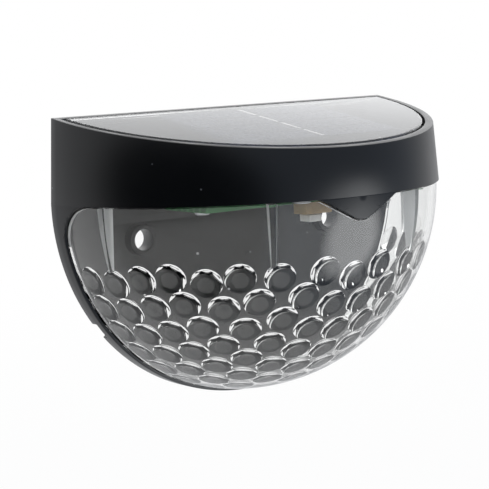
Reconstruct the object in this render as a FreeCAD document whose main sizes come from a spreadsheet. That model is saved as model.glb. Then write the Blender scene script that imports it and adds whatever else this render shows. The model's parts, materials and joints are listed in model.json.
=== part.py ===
"""Solar fence light: a sloping half-round hood over a clear quarter-dome lens.

Millimetres. X runs to the right seen from the front, the front faces -Y and Z is up.
The back face lies in Y = 0 and the origin is midway between the two mounting screws.
"""
import FreeCAD, Part
import math
import os

import Sketcher
from FreeCAD import Placement, Rotation, Vector

os.makedirs("parts", exist_ok=True)
doc = FreeCAD.newDocument("fence_light")
sheet = doc.addObject("Spreadsheet::Sheet", "sizes")

LED_COUNT = 6
CELL_STRIPS = 4

# ---------------------------------------------------------------- driving sizes
DRIVING_SIZES = {
    # housing
    "body_radius": 57.5,           # outer radius of the hood's lower edge and of the back plate
    "hood_draw_in": 1.5,           # top rim's outer radius is smaller by this
    "side_length": 3.0,            # straight side behind the round front
    "hood_height": 23.0,           # height of the hood at the back
    "top_slope": 9.5,              # degrees the top falls towards the front
    "axis_level": 11.5,            # hood's lower edge above the mounting screws
    "rim_wall": 1.8,
    "plate_wall": 2.2,
    "shell_wall": 1.6,             # side rim and front tab
    "side_rim_depth": 5.2,
    "corner_radius": 11.0,         # rounded upper corners of the lens window
    "tab_half_width": 12.6,
    "tab_drop": 5.9,
    "tab_tip": 1.6,                # half width of the blunt tip of the tab
    "tab_tip_rounding": 4.6,
    "tab_shoulder_rounding": 3.2,
    "recess_depth": 3.0,
    "floor_wall": 1.6,
    "notch_width": 5.0,            # pry notches in the back edge
    "notch_depth": 1.0,
    "notch_angle": 38.0,           # degrees below the horizontal, seen from the dome's centre
    # mounting
    "screw_half_spacing": 32.0,
    "screw_hole_radius": 2.9,
    "screw_boss_radius": 4.3,
    "screw_boss_length": 5.3,
    # lens
    "lens_set_in": 0.7,            # behind the side rim's outer face
    "lens_wall": 1.6,
    "lens_gap": 0.3,
    "bump_sphere_radius": 6.7,
    "bump_height": 1.65,
    "bump_pitch": 8.2,             # from bump to bump along a ring, on the inner face
    "first_ring_length": 7.226,    # along the inner face, from the dome's centre plane
    "ring_pitch": 8.343,
    "stem_top_width": 2.2,
    "stem_foot_width": 1.0,
    "stem_depth": 4.9,             # from the lens's outer face
    "stem_length": 20.0,
    "tongue_length": 5.0,
    "tongue_wall": 1.8,
    "tongue_taper": 0.3,
    "side_stem_angle": 16.7,       # degrees from the side towards the front
    "front_stem_angle": 65.0,
    # solar panel
    "panel_gap": 0.8,
    "adhesive_thickness": 0.4,
    "adhesive_width": 4.0,
    "panel_board_thickness": 1.2,
    "epoxy_thickness": 1.6,
    "epoxy_chamfer": 0.6,
    "strip_gap": 0.7,
    "strip_end_gap": 6.6,          # last strip's front corners to the panel's round edge
    "strip_front_gap": 10.4,       # room in front of the strips
    "cell_thickness": 0.3,
    "first_cell_back": 6.4,        # back edge of the first strip from the back wall
    "ribbon_width": 0.9,
    "ribbon_thickness": 0.1,
    "ribbon_end": 0.5,             # ribbon ends this far inside a strip's edges
    "epoxy_clearance": 0.05,       # over the ribbons
    # tray
    "tray_gap": 0.4,
    "tray_lift": 0.4,              # tray above the hood's lower edge
    "tray_wall": 1.8,
    "well_margin": 2.2,            # board's edge to the well, behind and in front
    "well_side_margin": 3.0,
    "well_height": 6.2,
    "well_wall": 1.5,
    "well_corner": 9.0,            # slanted front corners that follow the hood
    "post_radius": 3.0,
    "back_post_inset": 9.2,        # from the hood's inner wall
    "back_post_y": 9.0,
    "front_post_x": 12.0,
    "front_post_inset": 7.2,
    "tray_screw_radius": 1.2,
    "tray_screw_length": 8.0,
    "tray_screw_head_radius": 2.6,
    "tray_screw_head_height": 1.6,
    "pilot_clearance": 0.05,       # pilot hole over the shank, in radius
    "pilot_end": 0.9,              # pilot hole beyond the screw's tip
    "screw_clearance": 0.3,        # through hole over the shank, in radius
    "stem_slot_clearance": 0.5,
    # cell
    "cell_radius": 5.25,
    "cell_body_length": 43.3,
    "cell_nub_radius": 1.9,
    "cell_nub_length": 1.0,
    "cell_axis_y": 12.0,
    "cell_lift": 0.8,
    "contact_thickness": 0.4,
    "contact_width": 10.0,
    "contact_depth": 2.1,
    "contact_height": 8.2,
    "contact_overlap": 1.0,        # the leaf reaches below the cell's nub by this
    "cradle_wall": 1.5,
    "cradle_margin": 1.0,
    "saddle_below_axis": 1.75,
    "saddle_clearance": 0.1,
    # LED board
    "board_inset": 12.2,           # front edge to the hood's inner wall
    "board_corner_gap": 2.13,      # front corners to the lens's inner face
    "board_back": 23.0,
    "board_thickness": 1.6,
    "board_drop": 0.85,            # tray's underside to the board
    "board_screw_inset": 5.0,
    "board_screw_radius": 0.8,
    "board_screw_length": 6.0,
    "board_screw_head_radius": 2.0,
    "board_screw_head_height": 1.3,
    "board_post_radius": 2.5,
    "led_length": 3.5,
    "led_width": 2.8,
    "led_height": 0.8,
    "led_end_inset": 8.5,          # last LED from the board screw
    # driver chip, inductor, capacitor and small parts on the board's upper face
    "chip_gap": 1.6,               # to the capacitor's base
    "chip_y": 28.0,
    "chip_length": 5.0,
    "chip_width": 4.0,
    "chip_height": 1.6,
    "chip_lift": 0.1,
    "leg_pitch": 1.27,
    "leg_width": 0.4,
    "leg_length": 1.2,
    "leg_height": 0.5,
    "leg_row": 2.4,                # legs' middle from the chip's middle
    "drum_inset": 22.0,            # from the board's left end
    "drum_y": 30.0,
    "drum_radius": 3.6,
    "drum_waist": 2.4,
    "drum_flange": 0.8,
    "drum_height": 4.6,
    "can_end_inset": 14.0,         # from the board's right end
    "can_inset": 7.0,              # from the board's front edge
    "can_radius": 2.5,
    "can_height": 5.2,
    "can_base_side": 5.4,
    "can_base_height": 0.8,
    "small_length": 2.0,
    "small_width": 1.2,
    "small_height": 0.6,
    "small_inset": 4.0,            # front row from the board's front edge
    "small_end_inset": 15.0,       # left column from the board's left end
    # switch
    "switch_length": 8.6,
    "switch_width": 5.6,
    "switch_height": 3.3,
    "switch_roof": 0.8,            # material over the slot
    "switch_inset": 3.2,           # from the board's front edge
    "knob_length": 4.1,
    "knob_width": 4.4,
    "knob_height": 1.9,
    "knob_travel": 1.5,
    "knob_gap": 0.2,
    "knob_stem": 2.0,
    # leads
    "lead_radius": 0.6,
    "lead_clearance": 0.4,
    "lead_hole_radius": 2.6,
    "lead_hole_y": 30.0,
    "lead_near": 1.2,              # panel leads from the middle where they leave the panel
    "lead_far": 4.2,               # and where they land on the board
    "lead_step": 1.5,              # landing in front of the hole
    "lead_rise": 2.6,              # last straight run above the board
    "lead_bend_drop": 0.3,         # first bend below the well's ceiling
    "lead_end_gap": 0.12,          # keeps a lead's square end clear of the sloping board
    "lead_lift": 2.8,              # cell leads above the tray
    "lead_landing": 4.5,           # cell leads land this far in front of the board's back edge
}


class Size:
    """A number together with the sheet expression that gives it."""

    def __init__(self, value, text):
        self.value = value
        self.text = text

    def __add__(self, other):
        other = as_size(other)
        return Size(self.value + other.value, f"({self.text} + {other.text})")

    def __radd__(self, other):
        return as_size(other) + self

    def __sub__(self, other):
        other = as_size(other)
        return Size(self.value - other.value, f"({self.text} - {other.text})")

    def __rsub__(self, other):
        return as_size(other) - self

    def __mul__(self, other):
        other = as_size(other)
        return Size(self.value * other.value, f"({self.text} * {other.text})")

    def __rmul__(self, other):
        return as_size(other) * self

    def __truediv__(self, other):
        other = as_size(other)
        return Size(self.value / other.value, f"({self.text} / {other.text})")

    def __neg__(self):
        return Size(-self.value, f"(0 - {self.text})")

    def __float__(self):
        return float(self.value)


def as_size(value):
    return value if isinstance(value, Size) else Size(float(value), repr(float(value)))


def tangent(angle):
    return Size(math.tan(math.radians(angle.value)), f"tan({angle.text} * 1deg)")


def cosine(angle):
    return Size(math.cos(math.radians(angle.value)), f"cos({angle.text} * 1deg)")


def root(square):
    return Size(math.sqrt(square.value), f"sqrt({square.text})")


def enter_sizes():
    """Write every driving size into the sheet and hand back the named sizes."""
    named = {}
    for row, (name, value) in enumerate(DRIVING_SIZES.items(), start=1):
        sheet.set(f"A{row}", name)
        sheet.set(f"B{row}", str(value))
        sheet.setAlias(f"B{row}", name)
        named[name] = Size(value, f"sizes.{name}")
    doc.recompute()
    return named


S = enter_sizes()


def size(name):
    return float(S[name])


# ---------------------------------------------------------------- levels and fits
S["rim_radius"] = S["body_radius"] - S["hood_draw_in"]
S["lens_radius"] = S["body_radius"] - S["lens_set_in"]
S["stem_inner_radius"] = S["lens_radius"] - S["stem_depth"]
lens_inner = S["lens_radius"] - S["lens_wall"]
hood_top = S["axis_level"] + S["hood_height"]
inner_radius = S["rim_radius"] - S["rim_wall"]
slope = tangent(S["top_slope"])
slope_cosine = cosine(S["top_slope"])
tilted_straight = (S["side_length"] + S["rim_radius"]) / slope_cosine - S["rim_radius"]
floor_underside = S["recess_depth"] + S["floor_wall"]          # below the rim, square to it

tray_radius = inner_radius - S["tray_gap"]
tray_back = S["plate_wall"] + S["tray_gap"]
tray_bottom = S["axis_level"] + S["tray_lift"]
tray_top = tray_bottom + S["tray_wall"]
well_top = tray_top + S["well_height"]
well_ceiling = well_top - S["well_wall"]

board_reach = lens_inner - S["board_corner_gap"]
S["board_front"] = inner_radius - S["board_inset"]
board_run = S["board_front"] - S["side_length"]
S["board_half_length"] = root(board_reach * board_reach - board_run * board_run)
S["well_half_width"] = S["board_half_length"] + S["well_side_margin"]
S["well_front"] = S["board_front"] + S["well_margin"]
S["well_back"] = S["board_back"] - S["well_margin"]
S["back_post_x"] = inner_radius - S["back_post_inset"]
S["front_post_y"] = inner_radius + S["side_length"] - S["front_post_inset"]
S["board_screw_x"] = S["board_half_length"] - S["board_screw_inset"]
S["board_screw_y"] = (S["board_back"] + S["board_front"]) / 2
S["switch_y"] = S["board_front"] - S["switch_inset"]
S["led_y"] = (S["board_back"] + S["switch_y"] - S["switch_width"] / 2) / 2
S["led_pitch"] = (S["board_screw_x"] - S["led_end_inset"]) * 2 / (LED_COUNT - 1)
S["drum_x"] = S["board_half_length"] - S["drum_inset"]
S["small_x"] = S["board_half_length"] - S["small_end_inset"]
S["can_x"] = S["board_half_length"] - S["can_end_inset"]
S["chip_x"] = S["can_x"] - S["can_base_side"] / 2 - S["chip_gap"] - S["chip_length"] / 2
S["can_y"] = S["board_front"] - S["can_inset"]
board_top = tray_bottom - S["board_drop"]
board_bottom = board_top - S["board_thickness"]

cell_axis_z = tray_top + S["cell_lift"] + S["cell_radius"]
cell_half_length = (S["cell_body_length"] + S["cell_nub_length"]) / 2

panel_radius = inner_radius - S["panel_gap"]
panel_reach = panel_radius + tilted_straight
S["cell_pitch"] = (panel_reach - S["first_cell_back"] - S["strip_front_gap"]) / CELL_STRIPS
S["cell_width"] = S["cell_pitch"] - S["strip_gap"]
strip_run = S["first_cell_back"] + S["cell_pitch"] * CELL_STRIPS - S["strip_gap"] - tilted_straight
S["cell_length"] = (root(panel_radius * panel_radius - strip_run * strip_run) - S["strip_end_gap"]) * 2
panel_back = S["plate_wall"] + S["panel_gap"]

contact_plate_x = cell_half_length + S["contact_depth"] - S["contact_thickness"] / 2
cell_lead_z = tray_top + S["lead_lift"]

RING_BUMPS = (17, 16, 15, 14, 11, 9, 6, 3)     # bumps in each ring, from the back to the front
RING_SPREAD = (1.0, 1.015, 1.03, 1.0, 1.06, 1.06, 1.105, 1.1)   # rings near the nose stand wider apart
BUMP_SIDES = 6
BUMP_SEAT = 0.12                               # how far a bump's foot runs into the wall
BUMP_FLAT = 0.85                               # share of its height where a bump is cut flat
SMALL_Y = (-28, -32, -36)                      # left column of small parts
SMALL_X = (6, 10, 14)                          # front row of small parts
CHIP_LEGS = 4                                  # on each side
PRISM_SIDES = 12
LEAD_SIDES = 8
BEND_SHARE = 0.45                              # share of the shorter run that a lead's bend takes up
GAP_LEAN = 0.25                                # widening per gap that keeps it even on slanted sides
FAR = 200.0                                    # reach of a cut that goes right through
PAST = 1.0                                     # how far a cut runs past the face it opens
SAME = 0.01                                    # levels closer than this are the same


# ---------------------------------------------------------------- sketch helpers
def new_body(name):
    body = doc.addObject("PartDesign::Body", name)
    body.Label = name
    return body


def origin_plane(body, role):
    return next(item for item in body.Origin.OriginFeatures if item.Role == role)


def new_sketch(body, name, plane, lift=0):
    """A sketch on an origin plane, lifted along its normal."""
    sketch = body.newObject("Sketcher::SketchObject", name)
    sketch.AttachmentSupport = [(origin_plane(body, plane), "")]
    sketch.MapMode = "FlatFace"
    height = as_size(lift)
    sketch.AttachmentOffset = Placement(Vector(0, 0, height.value), Rotation())
    sketch.setExpression("AttachmentOffset.Base.z", height.text)
    return sketch


def bind(sketch, constraint, size):
    index = sketch.addConstraint(constraint)
    sketch.setExpression(f"Constraints[{index}]", size.text)


def pin_point(sketch, geometry, position, x, y):
    """Hold one point of a sketch at sizes x and y from the sketch's origin."""
    for kind, size, axis in (("DistanceX", as_size(x), -2), ("DistanceY", as_size(y), -1)):
        if size.value == 0:
            sketch.addConstraint(Sketcher.Constraint("PointOnObject", geometry, position, axis))
        elif size.value > 0:
            bind(sketch, Sketcher.Constraint(kind, -1, 1, geometry, position, size.value), size)
        else:
            bind(sketch, Sketcher.Constraint(kind, geometry, position, -1, 1, -size.value), -size)


def draw_polygon(sketch, corners):
    """A closed polygon whose corners are pairs of sizes."""
    corners = [(as_size(x), as_size(y)) for x, y in corners]
    first = sketch.GeometryCount
    for index, (x, y) in enumerate(corners):
        end_x, end_y = corners[(index + 1) % len(corners)]
        line = Part.LineSegment(Vector(x.value, y.value, 0), Vector(end_x.value, end_y.value, 0))
        sketch.addGeometry(line, False)
    for index, (x, y) in enumerate(corners):
        following = first + (index + 1) % len(corners)
        sketch.addConstraint(Sketcher.Constraint("Coincident", first + index, 2, following, 1))
    for index, (x, y) in enumerate(corners):
        pin_point(sketch, first + index, 1, x, y)


def draw_rectangle(sketch, x_low, x_high, y_low, y_high):
    draw_polygon(sketch, [(x_low, y_low), (x_high, y_low), (x_high, y_high), (x_low, y_high)])


def draw_circle(sketch, x, y, radius):
    x, y, radius = as_size(x), as_size(y), as_size(radius)
    circle = Part.Circle(Vector(x.value, y.value, 0), Vector(0, 0, 1), radius.value)
    index = sketch.addGeometry(circle, False)
    pin_point(sketch, index, 3, x, y)
    bind(sketch, Sketcher.Constraint("Radius", index, radius.value), radius)


def draw_arc(sketch, centre, radius, start_degrees, end_degrees):
    """A counter-clockwise arc with its centre and radius bound; its ends are left free."""
    x, y = (as_size(value) for value in centre)
    radius = as_size(radius)
    circle = Part.Circle(Vector(x.value, y.value, 0), Vector(0, 0, 1), radius.value)
    arc = Part.ArcOfCircle(circle, math.radians(start_degrees), math.radians(end_degrees))
    index = sketch.addGeometry(arc, False)
    pin_point(sketch, index, 3, x, y)
    bind(sketch, Sketcher.Constraint("Radius", index, radius.value), radius)
    return index


def join_ends(sketch, order):
    """Close a chain of (geometry, end position) and (geometry, start position) pairs."""
    for (geometry, end), (following, start) in order:
        sketch.addConstraint(Sketcher.Constraint("Coincident", geometry, end, following, start))


def add_line(sketch, start, end):
    points = [Vector(float(as_size(x)), float(as_size(y)), 0) for x, y in (start, end)]
    return sketch.addGeometry(Part.LineSegment(*points), False)


def draw_half_round(sketch, radius, straight, back):
    """The lamp's plan: a half circle at the front, short straight sides, a flat back."""
    radius, straight, back = as_size(radius), as_size(straight), as_size(back)
    arc = draw_arc(sketch, (0, -straight), radius, 180, 360)
    right = add_line(sketch, (radius, -straight), (radius, -back))
    rear = add_line(sketch, (radius, -back), (-radius, -back))
    left = add_line(sketch, (-radius, -back), (-radius, -straight))
    join_ends(sketch, [((arc, 2), (right, 1)), ((right, 2), (rear, 1)),
                       ((rear, 2), (left, 1)), ((left, 2), (arc, 1))])
    sketch.addConstraint(Sketcher.Constraint("Vertical", right))
    sketch.addConstraint(Sketcher.Constraint("Vertical", left))
    sketch.addConstraint(Sketcher.Constraint("Horizontal", arc, 1, arc, 3))
    sketch.addConstraint(Sketcher.Constraint("Horizontal", arc, 2, arc, 3))
    sketch.addConstraint(Sketcher.Constraint("Horizontal", rear))
    if back.value == 0:
        sketch.addConstraint(Sketcher.Constraint("PointOnObject", rear, 1, -1))
    else:
        bind(sketch, Sketcher.Constraint("DistanceY", rear, 1, -1, 1, back.value), back)


# ---------------------------------------------------------------- feature helpers
def pad(body, name, sketch, length, midplane=False):
    feature = body.newObject("PartDesign::Pad", name)
    feature.Profile = sketch
    feature.Length = float(length)
    feature.setExpression("Length", as_size(length).text)
    feature.Midplane = midplane
    body.Tip = feature
    doc.recompute()
    return feature


def pocket(body, name, sketch, length, reverse=False, midplane=False):
    """A cut that must take material away."""
    before = body.Shape.Volume
    feature = body.newObject("PartDesign::Pocket", name)
    feature.Profile = sketch
    feature.Length = float(length)
    feature.setExpression("Length", as_size(length).text)
    feature.Reversed = reverse
    feature.Midplane = midplane
    body.Tip = feature
    doc.recompute()
    if not body.Shape.Volume < before:
        raise RuntimeError(f"{name} cuts nothing from {body.Label}")
    return feature


def round_edges(body, name, radius, chosen):
    """Fillet every edge of the body for which chosen(edge) is true."""
    base = body.Tip
    names = [f"Edge{index}" for index, edge in enumerate(base.Shape.Edges, start=1) if chosen(edge)]
    if not names:
        raise RuntimeError(f"{name} finds no edge on {body.Label}")
    feature = body.newObject("PartDesign::Fillet", name)
    feature.Base = (base, names)
    feature.Radius = float(radius)
    feature.setExpression("Radius", as_size(radius).text)
    body.Tip = feature
    doc.recompute()
    return feature


def revolve(body, name, sketch, axis, degrees):
    feature = body.newObject("PartDesign::Revolution", name)
    feature.Profile = sketch
    feature.ReferenceAxis = (sketch, [axis])
    feature.Angle = degrees
    body.Tip = feature
    doc.recompute()
    return feature


def boolean(kind, name, base, tool):
    result = doc.addObject(f"Part::{kind}", name)
    result.Base = base
    result.Tool = tool
    result.Refine = True
    result.Label = name
    doc.recompute()
    return result


def shaped(name, shape):
    """A piece, or a tool for one, whose shape is built directly from the sizes."""
    item = doc.addObject("Part::Feature", name)
    item.Shape = shape
    item.Label = name
    return item


def box_between(low, high):
    low = [float(value) for value in low]
    high = [float(value) for value in high]
    spans = [b - a for a, b in zip(low, high)]
    return Part.makeBox(*spans, Vector(*low))


def lay_tilted(item, place, depth):
    """Lay a body or a sketch parallel to the sloping rim, depth below it, tied to the sheet."""
    depth = as_size(depth)
    turn = Rotation(Vector(1, 0, 0), size("top_slope"))
    down = turn.multVec(Vector(0, 0, -depth.value))
    setattr(item, place, Placement(Vector(0, 0, hood_top.value) + down, turn))
    item.setExpression(f"{place}.Rotation.Angle", S["top_slope"].text)
    item.setExpression(f"{place}.Base.y", (slope * slope_cosine * depth).text)
    item.setExpression(f"{place}.Base.z", (hood_top - slope_cosine * depth).text)


# ---------------------------------------------------------------- dome shells and the lens window
def dome_shell(name, outer, wall):
    """Half of a hollow dome below the lens axis: a sphere with a short straight skirt."""
    body = new_body(name)
    sketch = new_sketch(body, f"{name}_profile", "XY_Plane", lift=S["axis_level"])
    inner = outer - wall
    straight = S["side_length"]
    outer_arc = draw_arc(sketch, (0, -straight), outer, 270, 360)
    skirt_out = add_line(sketch, (outer, -straight), (outer, 0))
    skirt_end = add_line(sketch, (outer, 0), (inner, 0))
    skirt_in = add_line(sketch, (inner, 0), (inner, -straight))
    inner_arc = draw_arc(sketch, (0, -straight), inner, 270, 360)
    nose = add_line(sketch, (0, -straight - inner), (0, -straight - outer))
    join_ends(sketch, [((outer_arc, 2), (skirt_out, 1)), ((skirt_out, 2), (skirt_end, 1)),
                       ((skirt_end, 2), (skirt_in, 1)), ((skirt_in, 2), (inner_arc, 2)),
                       ((inner_arc, 1), (nose, 1)), ((nose, 2), (outer_arc, 1))])
    for line in (skirt_out, skirt_in, nose):
        sketch.addConstraint(Sketcher.Constraint("Vertical", line))
    sketch.addConstraint(Sketcher.Constraint("Horizontal", outer_arc, 2, outer_arc, 3))
    sketch.addConstraint(Sketcher.Constraint("Horizontal", inner_arc, 2, inner_arc, 3))
    sketch.addConstraint(Sketcher.Constraint("PointOnObject", skirt_end, 1, -1))
    sketch.addConstraint(Sketcher.Constraint("PointOnObject", skirt_end, 2, -1))
    sketch.addConstraint(Sketcher.Constraint("PointOnObject", nose, 1, -2))
    revolve(body, f"{name}_turned", sketch, "V_Axis", 180)
    if body.Shape.BoundBox.ZMax > size("axis_level") + 1:
        body.Tip.Reversed = True
        doc.recompute()
    return body


def window_tool(name, gap):
    """The space in front of the side rim and under the hood, less the front tab.

    With a gap it is drawn in all round, which gives the outline of the lens.
    """
    side = new_body(f"{name}_side")
    sketch = new_sketch(side, f"{name}_side_profile", "YZ_Plane")
    edge = S["side_rim_depth"] + gap
    top = S["axis_level"] - gap
    radius = S["corner_radius"] - gap
    centre_y = -(S["side_rim_depth"] + S["corner_radius"])
    centre_z = S["axis_level"] - S["corner_radius"]
    corner = draw_arc(sketch, (centre_y, centre_z), radius, 0, 90)
    roof = add_line(sketch, (centre_y, top), (-FAR, top))
    front = add_line(sketch, (-FAR, top), (-FAR, -FAR))
    base = add_line(sketch, (-FAR, -FAR), (-edge, -FAR))
    back = add_line(sketch, (-edge, -FAR), (-edge, centre_z))
    join_ends(sketch, [((corner, 2), (roof, 1)), ((roof, 2), (front, 1)), ((front, 2), (base, 1)),
                       ((base, 2), (back, 1)), ((back, 2), (corner, 1))])
    sketch.addConstraint(Sketcher.Constraint("Vertical", corner, 2, corner, 3))
    sketch.addConstraint(Sketcher.Constraint("Horizontal", corner, 1, corner, 3))
    sketch.addConstraint(Sketcher.Constraint("Horizontal", roof))
    sketch.addConstraint(Sketcher.Constraint("Horizontal", base))
    sketch.addConstraint(Sketcher.Constraint("Vertical", front))
    sketch.addConstraint(Sketcher.Constraint("Vertical", back))
    pin_point(sketch, front, 2, -FAR, -FAR)
    pad(side, f"{name}_side_block", sketch, FAR, midplane=True)

    tab = new_body(f"{name}_tab")
    sketch = new_sketch(tab, f"{name}_tab_profile", "XZ_Plane")
    low = S["axis_level"] - S["tab_drop"] - gap
    rise = S["axis_level"] - gap
    high = rise + S["shell_wall"]
    lean = gap * GAP_LEAN
    wide = S["tab_half_width"] + lean
    tip = S["tab_tip"] + lean
    draw_polygon(sketch, [(-FAR, high), (-FAR, rise), (-wide, rise), (-tip, low),
                          (tip, low), (wide, rise), (FAR, rise), (FAR, high)])
    pad(tab, f"{name}_tab_block", sketch, FAR)

    def at_lower_bend(edge):
        return edge.BoundBox.YLength > FAR / 2 and abs(edge.BoundBox.ZMax - float(low)) < SAME

    def at_shoulder(edge):
        box = edge.BoundBox
        in_plan = abs(box.XMin) < size("rim_radius")
        return in_plan and box.YLength > FAR / 2 and abs(box.ZMax - float(rise)) < SAME

    round_edges(tab, f"{name}_tab_tip", S["tab_tip_rounding"] + gap, at_lower_bend)
    round_edges(tab, f"{name}_tab_shoulders", S["tab_shoulder_rounding"] - gap, at_shoulder)
    return boolean("Cut", name, side, tab)


# ---------------------------------------------------------------- housing
def build_hood():
    """Hood, back plate and everything moulded onto them."""
    body = new_body("hood_and_plate")
    lower = new_sketch(body, "hood_lower_edge", "XY_Plane", lift=S["axis_level"])
    draw_half_round(lower, S["body_radius"], S["side_length"], 0)
    upper = new_sketch(body, "hood_upper_edge", "XY_Plane", lift=hood_top)
    draw_half_round(upper, S["rim_radius"], S["side_length"], 0)
    doc.recompute()
    loft = body.newObject("PartDesign::AdditiveLoft", "hood_walls")
    loft.Profile = lower
    loft.Sections = [upper]
    loft.Ruled = True
    body.Tip = loft
    doc.recompute()

    inside = new_sketch(body, "hood_inside", "XY_Plane", lift=S["axis_level"])
    draw_half_round(inside, inner_radius, S["side_length"], S["plate_wall"])
    pocket(body, "hood_hollow", inside, FAR, midplane=True)

    bond = S["rim_wall"] / 4                  # how far the panel floor runs into the walls
    floor = new_sketch(body, "panel_floor_outline", "XY_Plane")
    lay_tilted(floor, "AttachmentOffset", floor_underside)
    draw_half_round(floor, inner_radius + bond, tilted_straight, S["plate_wall"] - bond)
    pad(body, "panel_floor", floor, S["floor_wall"])

    above = new_sketch(body, "above_the_rim", "XY_Plane")
    lay_tilted(above, "AttachmentOffset", 0)
    reach = S["body_radius"] * 2
    draw_rectangle(above, -reach, reach, -reach, reach)
    pocket(body, "sloping_top", above, S["hood_height"] * 2, reverse=True)

    plate = new_sketch(body, "plate_outline", "XZ_Plane")
    rim = draw_arc(plate, (0, S["axis_level"]), S["body_radius"], 180, 360)
    closing = add_line(plate, (S["body_radius"], S["axis_level"]), (-S["body_radius"], S["axis_level"]))
    join_ends(plate, [((rim, 2), (closing, 1)), ((closing, 2), (rim, 1))])
    plate.addConstraint(Sketcher.Constraint("Horizontal", closing))
    plate.addConstraint(Sketcher.Constraint("Horizontal", rim, 2, rim, 3))
    pad(body, "back_plate", plate, S["plate_wall"])

    bosses = new_sketch(body, "screw_bosses", "XZ_Plane")
    for side in (-1, 1):
        draw_circle(bosses, S["screw_half_spacing"] * side, 0, S["screw_boss_radius"])
    pad(body, "screw_boss_pads", bosses, S["screw_boss_length"])

    for name, x, y in (("back_posts", S["back_post_x"], S["back_post_y"]),
                       ("front_posts", S["front_post_x"], S["front_post_y"])):
        posts = new_sketch(body, name, "XY_Plane", lift=tray_top)
        pilots = new_sketch(body, f"{name}_pilots", "XY_Plane", lift=tray_top)
        for side in (-1, 1):
            draw_circle(posts, x * side, -y, S["post_radius"])
            draw_circle(pilots, x * side, -y, S["tray_screw_radius"] + S["pilot_clearance"])
        middle_of_floor = (floor_underside - S["floor_wall"] / 2) / slope_cosine
        height = hood_top - slope * y - middle_of_floor - tray_top
        pad(body, f"{name}_pads", posts, height)
        pilot_depth = S["tray_screw_length"] - S["tray_wall"] + S["pilot_end"]
        pocket(body, f"{name}_holes", pilots, pilot_depth, reverse=True)

    lead_hole = new_sketch(body, "panel_lead_hole", "XY_Plane")
    draw_circle(lead_hole, 0, -S["lead_hole_y"], S["lead_hole_radius"])
    pocket(body, "panel_lead_cut", lead_hole, FAR, midplane=True)

    holes = new_sketch(body, "screw_holes", "XZ_Plane")
    for side in (-1, 1):
        draw_circle(holes, S["screw_half_spacing"] * side, 0, S["screw_hole_radius"])
    pocket(body, "screw_hole_cuts", holes, FAR, midplane=True)
    return body


def build_housing():
    rim_blank = dome_shell("rim_blank", S["body_radius"], S["shell_wall"])
    window = window_tool("housing_window", as_size(0))
    rim = boolean("Cut", "side_rim_and_tab", rim_blank, window)
    whole = boolean("Fuse", "housing_blank", build_hood(), rim)
    notches = []
    for angle in (size("notch_angle"), 180 - size("notch_angle")):
        reach = size("body_radius") - size("notch_depth")
        half = size("notch_width") / 2
        notch = box_between((reach, -size("plate_wall"), -half), (reach + half, PAST, half))
        notch.rotate(Vector(0, 0, 0), Vector(0, 1, 0), angle)
        notch.translate(Vector(0, 0, size("axis_level")))
        notches.append(notch)
    return boolean("Cut", "housing", whole, shaped("pry_notches", Part.makeCompound(notches)))


# ---------------------------------------------------------------- lens
def dome_centre():
    return Vector(0, -size("side_length"), size("axis_level"))


def bump_blank():
    """One convex bump, pointing up, with its seat just inside the dome's wall.

    Its round flank is cut into a few flat faces, because there are many bumps.
    """
    sphere_radius = size("bump_sphere_radius")
    height = size("bump_height")
    rings = []
    for level in (-BUMP_SEAT, height * BUMP_FLAT):
        reach = math.sqrt(sphere_radius ** 2 - (sphere_radius - height + level) ** 2)
        rings.append(polygon_corners(reach, level, BUMP_SIDES))
    faces = [closed_face(rings[0]), closed_face(rings[-1])]
    for lower, upper in zip(rings, rings[1:]):
        for side in range(BUMP_SIDES):
            after = (side + 1) % BUMP_SIDES
            faces.append(closed_face([lower[side], lower[after], upper[after], upper[side]]))
    solid = Part.Solid(Part.Shell(faces))
    solid.fix(0.001, 0.001, 0.001)
    if solid.Volume < 0:
        solid.reverse()
    return solid


def polygon_corners(reach, level, sides):
    turns = [math.radians((side + 0.5) * 360 / sides) for side in range(sides)]
    return [Vector(reach * math.cos(turn), reach * math.sin(turn), level) for turn in turns]


def closed_face(corners):
    return Part.Face(Part.makePolygon(corners + corners[:1]))


def bump_rings():
    """Every bump in its place, ring by ring from the back to the nose."""
    blank = bump_blank()
    centre = dome_centre()
    bumps = []
    for ring, count in enumerate(RING_BUMPS):
        forward = (size("first_ring_length") + ring * size("ring_pitch")) / float(lens_inner)
        circle = float(lens_inner) * math.cos(forward)
        step = math.degrees(size("bump_pitch") / circle) * RING_SPREAD[ring]
        for index in range(count):
            turn = math.radians(90 + (index - (count - 1) / 2) * step)
            outward = Vector(math.cos(forward) * math.cos(turn), -math.sin(forward),
                             -math.cos(forward) * math.sin(turn))
            along = Vector(math.sin(turn), 0, math.cos(turn))
            inward = outward * -1
            facing = Rotation(along, inward.cross(along), inward, "XZY")
            item = blank.copy()
            item.Placement = Placement(centre + outward * float(lens_inner), facing)
            bumps.append(item)
    return bumps


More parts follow.
